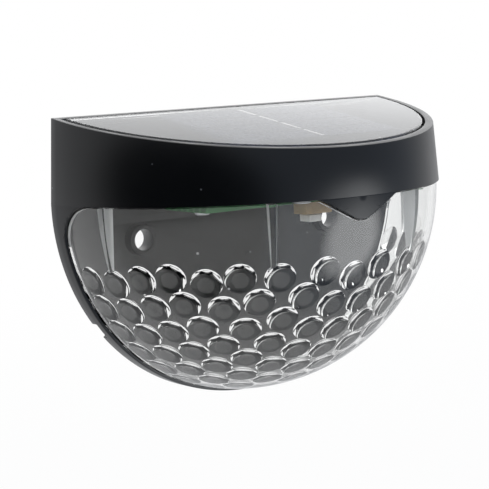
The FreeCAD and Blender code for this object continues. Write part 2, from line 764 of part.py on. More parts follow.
def stem(plan_angle):
    """A tapered rib on the dome's inner face with a tongue that reaches into the hood."""
    inner = size("stem_inner_radius")
    outer = size("lens_radius") - size("lens_wall") / 2
    top = size("axis_level") - size("lens_gap")
    foot = top - size("stem_length")
    taper = size("tongue_taper")
    half_top, half_foot = size("stem_top_width") / 2, size("stem_foot_width") / 2

    def section(level, half, reach):
        corners = [(inner, -half), (reach, -half), (reach, half), (inner, half), (inner, -half)]
        return Part.makePolygon([Vector(x, y, level) for x, y in corners])

    rib = Part.makeLoft([section(foot, half_foot, outer), section(top, half_top, outer)], True, True)
    tongue_outer = inner + size("tongue_wall")
    tongue_top = size("axis_level") + size("tongue_length")
    tongue = Part.makeLoft([section(top, half_top, tongue_outer),
                            section(tongue_top, half_top - taper, tongue_outer - taper)], True, True)
    for piece in (rib, tongue):
        piece.rotate(Vector(0, 0, 0), Vector(0, 0, 1), -plan_angle)
        piece.translate(Vector(0, -size("side_length"), 0))
    within = Part.makeSphere(outer, dome_centre())
    return rib.common(within), tongue


def build_lens():
    blank = dome_shell("lens_blank", S["lens_radius"], S["lens_wall"])
    window = window_tool("lens_window", S["lens_gap"])
    outline = boolean("Common", "lens_shell", blank, window)
    side, front = size("side_stem_angle"), size("front_stem_angle")
    ribs = []
    tongues = []
    for plan_angle in (side, front, 180 - front, 180 - side):
        rib, tongue = stem(plan_angle)
        ribs.append(rib)
        tongues.append(tongue)
    bumps = [cap.common(window.Shape) for cap in bump_rings()]
    shape = outline.Shape.fuse(bumps)
    shape = shape.fuse(ribs + tongues)
    shape = shape.removeSplitter()
    return shaped("lens", shape)


# ---------------------------------------------------------------- solar panel
def tilted_body(name, depth):
    body = new_body(name)
    lay_tilted(body, "Placement", depth)
    return body


def build_panel():
    board_depth = S["recess_depth"] - S["adhesive_thickness"]
    adhesive = tilted_body("panel_adhesive", S["recess_depth"])
    ring = new_sketch(adhesive, "adhesive_ring", "XY_Plane")
    draw_half_round(ring, panel_radius, tilted_straight, panel_back)
    inner_back = panel_back + S["adhesive_width"]
    inner_straight = inner_back + S["adhesive_thickness"]
    draw_half_round(ring, panel_radius + tilted_straight - S["adhesive_width"] - inner_straight,
                    inner_straight, inner_back)
    pad(adhesive, "adhesive_pad", ring, S["adhesive_thickness"])

    board = tilted_body("solar_board", board_depth)
    outline = new_sketch(board, "solar_board_outline", "XY_Plane")
    draw_half_round(outline, panel_radius, tilted_straight, panel_back)
    pad(board, "solar_board_pad", outline, S["panel_board_thickness"])

    face_depth = board_depth - S["panel_board_thickness"]
    cells = tilted_body("solar_cells", face_depth)
    ribbons = tilted_body("cell_ribbons", face_depth - S["cell_thickness"])
    strips = new_sketch(cells, "cell_strips", "XY_Plane")
    lines = new_sketch(ribbons, "ribbon_lines", "XY_Plane")
    half = S["cell_length"] / 2
    for index in range(CELL_STRIPS):
        back = S["first_cell_back"] + S["cell_pitch"] * index
        front = back + S["cell_width"]
        draw_rectangle(strips, -half, half, -front, -back)
        draw_rectangle(lines, -S["ribbon_width"] / 2, S["ribbon_width"] / 2,
                       -front + S["ribbon_end"], -back - S["ribbon_end"])
    for body, sketch, thickness in ((cells, strips, S["cell_thickness"]),
                                    (ribbons, lines, S["ribbon_thickness"])):
        group = pad(body, f"{body.Label}_pad", sketch, thickness)
        group.Refine = False

    epoxy = tilted_body("panel_epoxy", face_depth)
    outline = new_sketch(epoxy, "epoxy_outline", "XY_Plane")
    draw_half_round(outline, panel_radius, tilted_straight, panel_back)
    pad(epoxy, "epoxy_pad", outline, S["epoxy_thickness"])
    hollow = new_sketch(epoxy, "epoxy_hollow", "XY_Plane")
    margin = S["ribbon_thickness"]
    last = S["first_cell_back"] + S["cell_pitch"] * (CELL_STRIPS - 1) + S["cell_width"]
    draw_rectangle(hollow, -half - margin, half + margin, -last - margin, -S["first_cell_back"] + margin)
    hollow_depth = S["cell_thickness"] + S["ribbon_thickness"] + S["epoxy_clearance"]
    pocket(epoxy, "epoxy_hollow_cut", hollow, hollow_depth, reverse=True)

    def on_top(edge):
        box = edge.BoundBox
        return abs(box.ZMin - size("epoxy_thickness")) < SAME and box.ZLength < SAME

    soften = epoxy.Tip
    edges = [f"Edge{index}" for index, edge in enumerate(soften.Shape.Edges, start=1) if on_top(edge)]
    chamfer = epoxy.newObject("PartDesign::Chamfer", "epoxy_edge")
    chamfer.Base = (soften, edges)
    chamfer.Size = size("epoxy_chamfer")
    chamfer.setExpression("Size", S["epoxy_chamfer"].text)
    epoxy.Tip = chamfer
    doc.recompute()
    return [adhesive, board, cells, ribbons, epoxy]


# ---------------------------------------------------------------- tray
def draw_well(sketch, inset):
    """The well's plan, drawn in by inset; its front corners are slanted."""
    wide = S["well_half_width"] - inset
    front = S["well_front"] - inset
    back = S["well_back"] + inset
    corner = S["well_corner"] - inset * (2 - math.sqrt(2))
    draw_polygon(sketch, [(-wide, -back), (-wide, -front + corner), (-wide + corner, -front),
                          (wide - corner, -front), (wide, -front + corner), (wide, -back)])


def build_tray():
    body = new_body("tray")
    plate = new_sketch(body, "tray_outline", "XY_Plane", lift=tray_bottom)
    draw_half_round(plate, tray_radius, S["side_length"], tray_back)
    pad(body, "tray_plate", plate, S["tray_wall"])
    well = new_sketch(body, "well_outline", "XY_Plane", lift=tray_bottom)
    draw_well(well, as_size(0))
    pad(body, "well_block", well, well_top - tray_bottom)

    half = cell_half_length + S["contact_depth"]
    cradle = new_sketch(body, "cradle_outline", "XY_Plane", lift=tray_bottom)
    axis = S["cell_axis_y"]
    reach = S["contact_width"] / 2 - S["cradle_margin"]
    for side in (-1, 1):
        near, far = half * side, (half + S["cradle_wall"]) * side
        low, high = (near, far) if side > 0 else (far, near)
        draw_rectangle(cradle, low, high, -axis - reach, -axis + reach)
    pad(body, "cradle_ends", cradle, tray_top + S["contact_height"] - tray_bottom)
    saddles = new_sketch(body, "saddle_outline", "XY_Plane", lift=tray_bottom)
    saddle_x = cell_half_length / 2
    for side in (-1, 1):
        low, high = saddle_x * side - S["cradle_wall"] / 2, saddle_x * side + S["cradle_wall"] / 2
        wide = S["cell_radius"] + S["cradle_margin"]
        draw_rectangle(saddles, low, high, -axis - wide, -axis + wide)
    pad(body, "saddles", saddles, cell_axis_z - S["saddle_below_axis"] - tray_bottom)
    seat = new_sketch(body, "saddle_seat", "YZ_Plane")
    draw_circle(seat, -axis, cell_axis_z, S["cell_radius"] + S["saddle_clearance"])
    pocket(body, "saddle_seat_cut", seat, cell_half_length * 2, midplane=True)

    hollow = new_sketch(body, "well_inside", "XY_Plane", lift=tray_bottom)
    draw_well(hollow, S["well_wall"])
    pocket(body, "well_hollow", hollow, well_ceiling - tray_bottom, reverse=True)

    posts = new_sketch(body, "board_posts", "XY_Plane", lift=board_top)
    pilots = new_sketch(body, "board_post_pilots", "XY_Plane", lift=board_top)
    for side in (-1, 1):
        draw_circle(posts, S["board_screw_x"] * side, -S["board_screw_y"], S["board_post_radius"])
        draw_circle(pilots, S["board_screw_x"] * side, -S["board_screw_y"],
                    S["board_screw_radius"] + S["pilot_clearance"])
    pad(body, "board_post_pads", posts, well_ceiling - board_top)
    pilot_depth = S["board_screw_length"] - S["board_thickness"] + S["pilot_end"]
    pocket(body, "board_post_holes", pilots, pilot_depth, reverse=True)

    holes = new_sketch(body, "tray_screw_holes", "XY_Plane")
    through = S["tray_screw_radius"] + S["screw_clearance"]
    for side in (-1, 1):
        draw_circle(holes, S["back_post_x"] * side, -S["back_post_y"], through)
        draw_circle(holes, S["front_post_x"] * side, -S["front_post_y"], through)
    draw_circle(holes, 0, -S["lead_hole_y"], S["lead_hole_radius"])
    pocket(body, "tray_screw_cuts", holes, FAR, midplane=True)

    lead_cuts = new_sketch(body, "cell_lead_holes", "XZ_Plane", lift=S["well_back"] - PAST)
    for side in (-1, 1):
        draw_circle(lead_cuts, contact_plate_x * side, cell_lead_z, S["lead_radius"] + S["lead_clearance"])
    pocket(body, "cell_lead_cuts", lead_cuts, S["well_wall"] + 2 * PAST, reverse=True)

    room = S["stem_top_width"] / 2 + S["stem_slot_clearance"]
    slots = []
    for plan_angle in (S["side_stem_angle"], S["front_stem_angle"]):
        for angle in (float(plan_angle), 180 - float(plan_angle)):
            slot = box_between((S["stem_inner_radius"] - S["lens_gap"], -room, tray_bottom - PAST),
                               (inner_radius + 2 * PAST, room, tray_top + PAST))
            slot.rotate(Vector(0, 0, 0), Vector(0, 0, 1), -angle)
            slot.translate(Vector(0, -size("side_length"), 0))
            slots.append(slot)
    body.Label = "tray_blank"
    return boolean("Cut", "tray", body, shaped("stem_slots", Part.makeCompound(slots)))


# ---------------------------------------------------------------- cell and contacts
def build_cell():
    body = new_body("battery_cell")
    sketch = new_sketch(body, "cell_section", "XZ_Plane")
    start = -cell_half_length
    shoulder = start + S["cell_body_length"]
    draw_polygon(sketch, [(start, 0), (start, S["cell_radius"]), (shoulder, S["cell_radius"]),
                          (shoulder, S["cell_nub_radius"]), (cell_half_length, S["cell_nub_radius"]),
                          (cell_half_length, 0)])
    revolve(body, "cell_turned", sketch, "H_Axis", 360)
    body.Placement = Placement(Vector(0, -size("cell_axis_y"), float(cell_axis_z)), Rotation())
    body.setExpression("Placement.Base.y", (-S["cell_axis_y"]).text)
    body.setExpression("Placement.Base.z", cell_axis_z.text)
    doc.recompute()
    return body


def build_contact(name, side):
    """A folded leaf: one leg on the cradle's end wall, the other on the cell."""
    body = new_body(name)
    near = as_size(cell_half_length)
    sheet_wall = S["contact_thickness"]
    wall_side = near + S["contact_depth"]
    foot = tray_top
    top = tray_top + S["contact_height"]
    tip = cell_axis_z - S["cell_nub_radius"] - S["contact_overlap"]
    corners = [(wall_side, foot), (wall_side, top), (near, top), (near, tip), (near + sheet_wall, tip),
               (near + sheet_wall, top - sheet_wall), (wall_side - sheet_wall, top - sheet_wall),
               (wall_side - sheet_wall, foot)]
    sketch = new_sketch(body, f"{name}_profile", "XZ_Plane",
                        lift=S["cell_axis_y"] - S["contact_width"] / 2)
    draw_polygon(sketch, [(x * side, z) for x, z in corners])
    pad(body, f"{name}_leaf", sketch, S["contact_width"])
    return body


# ---------------------------------------------------------------- board and what it carries
def build_board():
    body = new_body("led_board")
    outline = new_sketch(body, "board_outline", "XY_Plane", lift=board_bottom)
    half = S["board_half_length"]
    draw_rectangle(outline, -half, half, -S["board_front"], -S["board_back"])
    for side in (-1, 1):
        draw_circle(outline, S["board_screw_x"] * side, -S["board_screw_y"],
                    S["board_screw_radius"] + S["screw_clearance"])
    pad(body, "board_pad", outline, S["board_thickness"])
    return body


def build_leds():
    body = new_body("leds")
    outline = new_sketch(body, "led_outlines", "XY_Plane", lift=board_bottom - S["led_height"])
    half_length, half_width = S["led_length"] / 2, S["led_width"] / 2
    for index in range(LED_COUNT):
        x = S["led_pitch"] * (index - (LED_COUNT - 1) / 2)
        draw_rectangle(outline, x - half_length, x + half_length,
                       -S["led_y"] - half_width, -S["led_y"] + half_width)
    pad(body, "led_pads", outline, S["led_height"])
    return body


def build_board_parts():
    """Driver chip, inductor, capacitor and small parts, all on the board's upper face."""
    top = float(board_top)
    x, y = size("chip_x"), -size("chip_y")
    half_length, half_width = size("chip_length") / 2, size("chip_width") / 2
    chip = box_between((x - half_length, y - half_width, top + size("chip_lift")),
                       (x + half_length, y + half_width, top + size("chip_height")))
    half_leg = size("leg_width") / 2
    for index in range(CHIP_LEGS):
        for row in (-1, 1):
            leg_x = x + size("leg_pitch") * (index - (CHIP_LEGS - 1) / 2)
            near = y + row * (size("leg_row") - size("leg_length") / 2)
            far = y + row * (size("leg_row") + size("leg_length") / 2)
            chip = chip.fuse(box_between((leg_x - half_leg, min(near, far), top),
                                         (leg_x + half_leg, max(near, far), top + size("leg_height"))))

    flange, height = size("drum_flange"), size("drum_height")
    drum = prism(size("drum_radius"), 0, flange)
    drum = drum.fuse([prism(size("drum_waist"), flange, height - flange),
                      prism(size("drum_radius"), height - flange, height)])
    drum.translate(Vector(-size("drum_x"), -size("drum_y"), top))

    half_base = size("can_base_side") / 2
    can = prism(size("can_radius"), size("can_base_height"), size("can_height"))
    can = can.fuse(box_between((-half_base, -half_base, 0), (half_base, half_base, size("can_base_height"))))
    can.translate(Vector(size("can_x"), -size("can_y"), top))

    small = []
    column = -size("small_x")
    row = size("small_inset") - size("board_front")
    for x, y in [(column, y) for y in SMALL_Y] + [(x, row) for x in SMALL_X]:
        far = (x + size("small_length"), y + size("small_width"), top + size("small_height"))
        small.append(box_between((x, y, top), far))
    return [shaped("driver_chip", chip), shaped("inductor", drum), shaped("capacitor", can),
            shaped("chip_parts", Part.makeCompound(small))]


def build_switch():
    """Slide switch under the board: a block with a slot, and a knob whose stem runs in it."""
    body = new_body("switch_body")
    bottom = board_bottom - S["switch_height"]
    block = new_sketch(body, "switch_outline", "XY_Plane", lift=bottom)
    half_length, half_width = S["switch_length"] / 2, S["switch_width"] / 2
    y = -S["switch_y"]
    draw_rectangle(block, -half_length, half_length, y - half_width, y + half_width)
    pad(body, "switch_block", block, S["switch_height"])
    slot = new_sketch(body, "switch_slot", "XY_Plane", lift=bottom)
    half_slot = (S["knob_stem"] + S["knob_travel"]) / 2 + S["knob_gap"]
    half_stem = S["knob_stem"] / 2
    draw_rectangle(slot, -half_slot, half_slot, y - half_stem - S["knob_gap"], y + half_stem + S["knob_gap"])
    slot_depth = S["switch_height"] - S["switch_roof"]
    pocket(body, "switch_slot_cut", slot, slot_depth, reverse=True)

    knob = new_body("switch_knob")
    rest = -S["knob_travel"] / 2
    top = bottom - S["knob_gap"]
    grip = new_sketch(knob, "knob_outline", "XY_Plane", lift=top - S["knob_height"])
    draw_rectangle(grip, rest - S["knob_length"] / 2, rest + S["knob_length"] / 2,
                   y - S["knob_width"] / 2, y + S["knob_width"] / 2)
    pad(knob, "knob_grip", grip, S["knob_height"])
    shaft = new_sketch(knob, "knob_stem_outline", "XY_Plane", lift=top - S["knob_height"])
    draw_rectangle(shaft, rest - half_stem, rest + half_stem, y - half_stem, y + half_stem)
    pad(knob, "knob_stem_pad", shaft, S["knob_height"] + slot_depth)
    return [body, knob]


# ---------------------------------------------------------------- screws
def plain_screw(kind, x, y, seat):
    """A screw driven upwards: its head hangs below the seat. Thread and cross stay with the looks."""
    head = prism(size(f"{kind}_head_radius"), -size(f"{kind}_head_height"), 0)
    screw = head.fuse(prism(size(f"{kind}_radius"), 0, size(f"{kind}_length")))
    screw.translate(Vector(x, y, float(seat)))
    return screw


def prism(reach, bottom, top):
    """A small round part with a few flat sides."""
    return closed_face(polygon_corners(reach, bottom, PRISM_SIDES)).extrude(Vector(0, 0, top - bottom))


def build_screws():
    tray = []
    board = []
    for side in (-1, 1):
        for post in ("back_post", "front_post"):
            tray.append(plain_screw("tray_screw", side * size(f"{post}_x"), -size(f"{post}_y"), tray_bottom))
        board.append(plain_screw("board_screw", side * size("board_screw_x"), -size("board_screw_y"),
                                 board_bottom))
    return [shaped("tray_screws", Part.makeCompound(tray)), shaped("board_screws", Part.makeCompound(board))]


# ---------------------------------------------------------------- leads
def lead(name, points):
    """A lead on straight runs joined by tangent arcs, as wide as the runs allow."""
    points = [Vector(*(float(value) for value in point)) for point in points]
    radius = size("lead_radius")
    start = points[0]
    runs = []
    length = 0.0
    for before, corner, after in zip(points, points[1:], points[2:]):
        into = (corner - before).normalize()
        out = (after - corner).normalize()
        turn = into.getAngle(out)
        setback = BEND_SHARE * min((corner - before).Length, (after - corner).Length)
        bend = setback / math.tan(turn / 2)
        first = corner - into * setback
        bisector = (out - into).normalize()
        centre = corner + bisector * (bend / math.cos(turn / 2))
        section = lead_section(start, into, radius)
        runs.append(section.extrude(first - start))
        section.translate(first - start)
        runs.append(section.revolve(centre, into.cross(out), math.degrees(turn)))
        length += (first - start).Length + bend * turn
        start = corner + out * setback
        print(f"{name}: bend radius {bend:.1f}")
    last = points[-1] - start
    runs.append(lead_section(start, last, radius).extrude(last))
    length += last.Length
    tube = runs[0].fuse(runs[1:])
    area = lead_section(start, last, radius).Area
    print(f"{name}: volume over section times length {tube.Volume / (area * length):.4f}")
    return shaped(name, tube)


def lead_section(point, direction, radius):
    """A lead's cross-section, drawn with a few flat sides."""
    corners = polygon_corners(radius, 0, LEAD_SIDES)
    face = closed_face(corners)
    face.Placement = Placement(point, Rotation(Vector(0, 0, 1), direction))
    return face


def build_leads():
    depth = (S["recess_depth"] - S["adhesive_thickness"]) / slope_cosine
    y = S["lead_hole_y"]
    under_panel = hood_top - slope * y - depth
    top = board_top
    leads = []
    for name, side in (("solar_lead_red", 1), ("solar_lead_black", -1)):
        near, far = S["lead_near"] * side, S["lead_far"] * side
        landing = -y - S["lead_step"]
        leads.append(lead(name, [(near, -y, under_panel - S["lead_end_gap"]),
                                 (near, -y, well_ceiling - S["lead_bend_drop"]),
                                 (far, landing, top + S["lead_rise"]), (far, landing, top)]))
    for name, side in (("battery_lead_red", 1), ("battery_lead_black", -1)):
        x = contact_plate_x * side
        start_y = S["cell_axis_y"] + S["contact_width"] / 2
        landing = -S["board_back"] - S["lead_landing"]
        leads.append(lead(name, [(x, -start_y, cell_lead_z), (x, landing, cell_lead_z), (x, landing, top)]))
    return leads


# ---------------------------------------------------------------- whole lamp
def build_all():
    pieces = [build_housing(), build_lens()]
    pieces += build_panel()
    pieces.append(build_tray())
    pieces.append(build_cell())
    pieces.append(build_contact("battery_contact_plus", 1))
    pieces.append(build_contact("battery_contact_minus", -1))
    pieces += [build_board(), build_leds()]
    pieces += build_board_parts()
    pieces += build_switch()
    pieces += build_screws()
    pieces += build_leads()
    return pieces


def check_and_export(pieces):
    doc.recompute()
    for item in doc.Objects:
        if "Invalid" in item.State or "Error" in item.State:
            raise RuntimeError(f"{item.Name} failed: {item.State}")
    for piece in pieces:
        if piece.Shape.isNull() or not piece.Shape.isValid():
            raise RuntimeError(f"{piece.Label} has no valid shape")
    for piece in pieces:
        piece.Shape.exportStep(f"parts/{piece.Label}.step")
        print(f"{piece.Label}: {len(piece.Shape.Solids)} solids, {piece.Shape.Volume:.1f} mm3")


check_and_export(build_all())
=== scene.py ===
"""Looks of the solar fence light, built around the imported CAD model.

Metres, in the model's own frame: X runs to the right, the front faces -Y and Z is up.
The back plate lies in Y = 0, midway between the two screw holes.
"""
import json
import math

import bpy
from mathutils import Matrix, Vector


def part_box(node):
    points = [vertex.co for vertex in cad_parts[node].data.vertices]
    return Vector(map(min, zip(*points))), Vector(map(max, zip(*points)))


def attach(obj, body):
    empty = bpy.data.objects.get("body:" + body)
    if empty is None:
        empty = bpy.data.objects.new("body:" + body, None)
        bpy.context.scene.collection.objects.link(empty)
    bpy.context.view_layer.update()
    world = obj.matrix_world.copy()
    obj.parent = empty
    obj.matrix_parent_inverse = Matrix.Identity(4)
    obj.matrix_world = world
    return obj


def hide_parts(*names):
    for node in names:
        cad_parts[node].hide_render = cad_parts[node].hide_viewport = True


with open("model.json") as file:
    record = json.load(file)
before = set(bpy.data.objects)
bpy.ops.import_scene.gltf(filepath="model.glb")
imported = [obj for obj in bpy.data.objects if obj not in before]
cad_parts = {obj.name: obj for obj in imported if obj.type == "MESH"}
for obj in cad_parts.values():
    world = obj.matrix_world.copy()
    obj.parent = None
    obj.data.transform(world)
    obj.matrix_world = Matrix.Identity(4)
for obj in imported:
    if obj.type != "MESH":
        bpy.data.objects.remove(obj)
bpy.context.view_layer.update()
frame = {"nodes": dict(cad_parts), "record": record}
MM = 0.001

# ---------------------------------------------------------------- driving sizes, in metres
RIM_RADIUS = 56.0 * MM
BODY_RADIUS = 57.5 * MM
STRAIGHT = 3.0 * MM               # straight side behind the round front
SLOPE = math.radians(9.5)
HOOD_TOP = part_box("housing")[1].z
AXIS_LEVEL = HOOD_TOP - 23.0 * MM     # the hood's lower edge, level with the dome's centre
RIM_WALL = 1.8 * MM
PLATE_WALL = 2.2 * MM
SHELL_WALL = 1.6 * MM
SIDE_RIM_DEPTH = 5.2 * MM
CORNER_RADIUS = 11.0 * MM
TAB_HALF_WIDTH = 12.6 * MM
TAB_DROP = 5.9 * MM
TAB_TIP = 1.6 * MM
TAB_TIP_ROUNDING = 4.6 * MM
TAB_SHOULDER_ROUNDING = 3.2 * MM
RECESS_DEPTH = 3.0 * MM
FLOOR_WALL = 1.6 * MM
INNER_RADIUS = RIM_RADIUS - RIM_WALL
RIM_BOND = 0.6 * MM               # the side rim runs this far up into the hood's wall
RIM_BOND_SHRINK = 0.996
EDGE_ROUNDING = 0.22 * MM         # the housing's soft edges
EDGE_ANGLE = math.radians(40)     # sharper edges than this get rounded
RIM_MERGE = 0.02 * MM             # corners closer than this become one
CUTTER_OVERSHOOT = 5.0 * MM       # how far a cutter runs past what it cuts
TAB_SLAB = 4.0 * MM
TAB_GAP_SHARE = 0.25              # share of a gap that the tab's sloping flanks need sideways

SCREW_X = 32.0 * MM
SCREW_HOLE_RADIUS = 2.9 * MM
SCREW_BOSS_RADIUS = 4.3 * MM
SCREW_BOSS_LENGTH = 5.3 * MM
NOTCH_ANGLE = math.radians(38)
NOTCH_WIDTH = 5.0 * MM
NOTCH_DEPTH = 1.0 * MM
NOTCH_CUTTER = 4.0 * MM
HOLE_CUTTER = 10.0 * MM

TRAY_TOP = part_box("tray_screws")[0].z + 3.4 * MM
POST_RADIUS = 3.0 * MM
PILOT_RADIUS = 1.25 * MM
PILOT_DEPTH = 7.1 * MM
BACK_POST_X, BACK_POST_Y = 45.0 * MM, 9.0 * MM
FRONT_POST_X, FRONT_POST_Y = 12.0 * MM, 50.0 * MM
LEAD_HOLE_RADIUS = 2.6 * MM
LEAD_HOLE_Y = 30.0 * MM

LENS_RADIUS = 56.8 * MM
LENS_WALL = 1.6 * MM
LENS_GAP = 0.3 * MM
LENS_INNER = LENS_RADIUS - LENS_WALL
BUMP_SPHERE = 6.7 * MM
BUMP_HEIGHT = 1.65 * MM
BUMP_PITCH = 8.2 * MM             # from bump to bump along a ring
BUMP_CLEAR = 9.2 * MM             # bumps further apart than this don't touch
BUMP_SEAT = 0.06 * MM             # how far a bump's flat foot lies inside the wall
RING_BUMPS = (17, 16, 15, 14, 11, 9, 6, 3)
RING_SPREAD = (1.0, 1.015, 1.03, 1.0, 1.06, 1.06, 1.105, 1.1)
FIRST_RING = math.radians(7.5)
RING_PITCH = math.radians(8.66)
STEM_ANGLES = (16.7, 65.0, 115.0, 163.3)
STEM_INNER = 51.9 * MM
STEM_LENGTH = 18.0 * MM
STEM_RUNOUT = 2.0 * MM            # the foot runs this much further into the dome's wall
STEM_HALF_TOP = 1.1 * MM
STEM_HALF_FOOT = 0.5 * MM
TONGUE_LENGTH = 5.0 * MM
TONGUE_WALL = 1.8 * MM
TONGUE_TAPER = 0.8
LENS_MERGE = 0.004 * MM
CUT_EDGE_MARGIN = 0.15 * MM
FLANK_NEAREST = STEM_HALF_FOOT * 0.8      # a stem's flank, across the stem and along it
FLANK_FURTHEST = STEM_HALF_TOP + 0.02 * MM
FLANK_START = STEM_INNER + 0.05 * MM
FLANK_END = LENS_INNER - 0.1 * MM

TRAY_SCREW_RADIUS = 1.2 * MM
TRAY_HEAD_RADIUS = 2.6 * MM
TRAY_HEAD_HEIGHT = 1.6 * MM
BOARD_SCREW_RADIUS = 0.8 * MM
BOARD_HEAD_RADIUS = 2.0 * MM
BOARD_HEAD_HEIGHT = 1.3 * MM
LED_COUNT = 6
LED_LENGTH = 3.5 * MM
LED_WELL_RADIUS = 1.1 * MM
LED_WELL_DEPTH = 0.25 * MM
LED_BODY_HALF = LED_LENGTH * 0.45
LED_END_PLACE = LED_LENGTH * 0.44
LED_END_HALF = LED_LENGTH * 0.06
LED_END_INSET = 0.3 * MM
LED_END_HEIGHT = 0.5 * MM
LED_END_FACES = LED_LENGTH * 0.452        # faces further out than this are the soldered ends'
LED_FACE_MARGIN = 0.02 * MM

SWITCH_SLOT_LENGTH = 0.22                 # half the slot's length and width, as shares of the block's
SWITCH_SLOT_WIDTH = 0.13
SWITCH_ROOF = 0.8 * MM
GRIP_GAP = 0.2 * MM

PANEL_GAP = 0.8 * MM
EPOXY_TOP = -0.2 * MM             # depth below the rim: it stands a little proud
EPOXY_THICKNESS = 1.6 * MM
EPOXY_ROUNDING = 0.72 * MM
FINGER_PITCH = 1.35 * MM          # the printed lines across the cells
FINGER_SHARE = 0.07
SPECK_REACH = 0.11                # a speck's size, as a share of its cell of the noise

ROUND_SEGMENTS = 256
FAR = 120 * MM                    # past everything
NEAR = 0.001 * MM                 # points closer than this to a cutting plane lie in it
LEVEL_REACH = 0.02 * MM           # an edge's end closer than this to a level lies on it

DOME_CENTRE = Vector((0, -STRAIGHT, AXIS_LEVEL))
SLOPE_NORMAL = Vector((0, -math.sin(SLOPE), math.cos(SLOPE)))


# ---------------------------------------------------------------- picking and shaping
def only(*pieces):
    """Select just these pieces; the last one is active."""
    if bpy.context.object and bpy.context.object.mode != "OBJECT":
        bpy.ops.object.mode_set(mode="OBJECT")
    bpy.ops.object.select_all(action="DESELECT")
    for piece in pieces:
        piece.select_set(True)
        bpy.context.view_layer.objects.active = piece


def new_piece(name):
    """Take the primitive that was just added, with its place put into its mesh."""
    piece = bpy.context.object
    piece.name = name
    piece.data.name = name
    settle(piece)
    return piece


def settle(piece):
    only(piece)
    bpy.ops.object.transform_apply(location=True, rotation=True, scale=True)


def copy_of(piece, placing):
    """A copy with its own mesh, moved by a matrix."""
    copy = piece.copy()
    copy.data = piece.data.copy()
    bpy.context.collection.objects.link(copy)
    copy.data.transform(placing)
    return copy


def join(*pieces):
    """Make one piece of several; the last one stays."""
    only(*pieces)
    if len(pieces) > 1:
        bpy.ops.object.join()
    return pieces[-1]


def start_edit(piece, kind):
    only(piece)
    bpy.ops.object.mode_set(mode="EDIT")
    bpy.ops.mesh.select_mode(type=kind)
    bpy.ops.mesh.select_all(action="DESELECT")
    bpy.ops.object.mode_set(mode="OBJECT")


def pick_faces(piece, wanted):
    """Go into edit mode with the faces selected for which wanted(centre, normal) is true."""
    start_edit(piece, "FACE")
    for face in piece.data.polygons:
        face.select = wanted(face.center, face.normal)
    bpy.ops.object.mode_set(mode="EDIT")


def pick_edges(piece, wanted):
    """Go into edit mode with the edges selected for which wanted(end, end) is true."""
    start_edit(piece, "EDGE")
    corners = piece.data.vertices
    for edge in piece.data.edges:
        edge.select = wanted(corners[edge.vertices[0]].co, corners[edge.vertices[1]].co)
    bpy.ops.object.mode_set(mode="EDIT")


def end_edit():
    bpy.ops.object.mode_set(mode="OBJECT")


def slice_off(piece, point, normal):
    """Cut away what lies on the normal's side of a plane and close the cut."""
    only(piece)
    bpy.ops.object.mode_set(mode="EDIT")
    bpy.ops.mesh.select_all(action="SELECT")
    bpy.ops.mesh.bisect(plane_co=point, plane_no=normal, use_fill=True, clear_outer=True,
                        threshold=NEAR)
    end_edit()


def score(piece, point, normal):
    """Draw an edge loop where a plane meets the piece."""
    only(piece)
    bpy.ops.object.mode_set(mode="EDIT")
    bpy.ops.mesh.select_all(action="SELECT")
    bpy.ops.mesh.bisect(plane_co=point, plane_no=normal, threshold=NEAR)
    end_edit()


def extrude(piece, wanted, move):
    pick_faces(piece, wanted)
    bpy.ops.mesh.extrude_region_move(TRANSFORM_OT_translate={"value": tuple(move)})
    end_edit()


def combine(piece, tool, operation="DIFFERENCE"):
    """Boolean with a tool that is used up."""
    modifier = piece.modifiers.new("shape", "BOOLEAN")
    modifier.operation = operation
    modifier.solver = "MANIFOLD"
    modifier.object = tool
    only(piece)
    bpy.ops.object.modifier_apply(modifier="shape")
    bpy.data.objects.remove(tool)


def round_edges(piece, width, segments=2):
    """Soft moulded edges all over a piece."""
    only(piece)
    modifier = piece.modifiers.new("edges", "BEVEL")
    modifier.limit_method = "ANGLE"
    modifier.angle_limit = EDGE_ANGLE
    modifier.width = width
    modifier.segments = segments
    modifier.use_clamp_overlap = False
    modifier.miter_outer = "MITER_ARC"
    bpy.ops.object.modifier_apply(modifier="edges")


def smooth(piece, angle=32):
    only(piece)
    bpy.ops.object.shade_smooth_by_angle(angle=math.radians(angle))


def merge_close(piece, distance):
    only(piece)
    bpy.ops.object.mode_set(mode="EDIT")
    bpy.ops.mesh.select_all(action="SELECT")
    bpy.ops.mesh.remove_doubles(threshold=distance)
    end_edit()


def block(name, low, high):
    low, high = Vector(low), Vector(high)
    bpy.ops.mesh.primitive_cube_add(size=1, location=(low + high) / 2)
    bpy.context.object.scale = high - low
    return new_piece(name)


def rod(name, radius, start, end, segments=48):
    """A round bar between two points."""
    start, end = Vector(start), Vector(end)
    along = end - start
    bpy.ops.mesh.primitive_cylinder_add(vertices=segments, radius=radius, depth=along.length,
                                        location=(start + end) / 2,
                                        rotation=along.to_track_quat("Z", "Y").to_euler())
    return new_piece(name)


def ball(name, radius, segments):
    """A ball about the dome's centre, with its poles in front and behind."""
    bpy.ops.mesh.primitive_uv_sphere_add(segments=segments, ring_count=segments // 2, radius=radius,
                                         location=DOME_CENTRE, rotation=(math.pi / 2, 0, 0))
    return new_piece(name)


def half_ball(name, radius, back):
    """The front half of a ball with a straight skirt that ends at Y = -back."""
    piece = ball(name, radius, ROUND_SEGMENTS)
    slice_off(piece, (0, -STRAIGHT, 0), (0, 1, 0))
    extrude(piece, lambda centre, normal: normal.y > 0.9, (0, STRAIGHT - back, 0))
    return piece


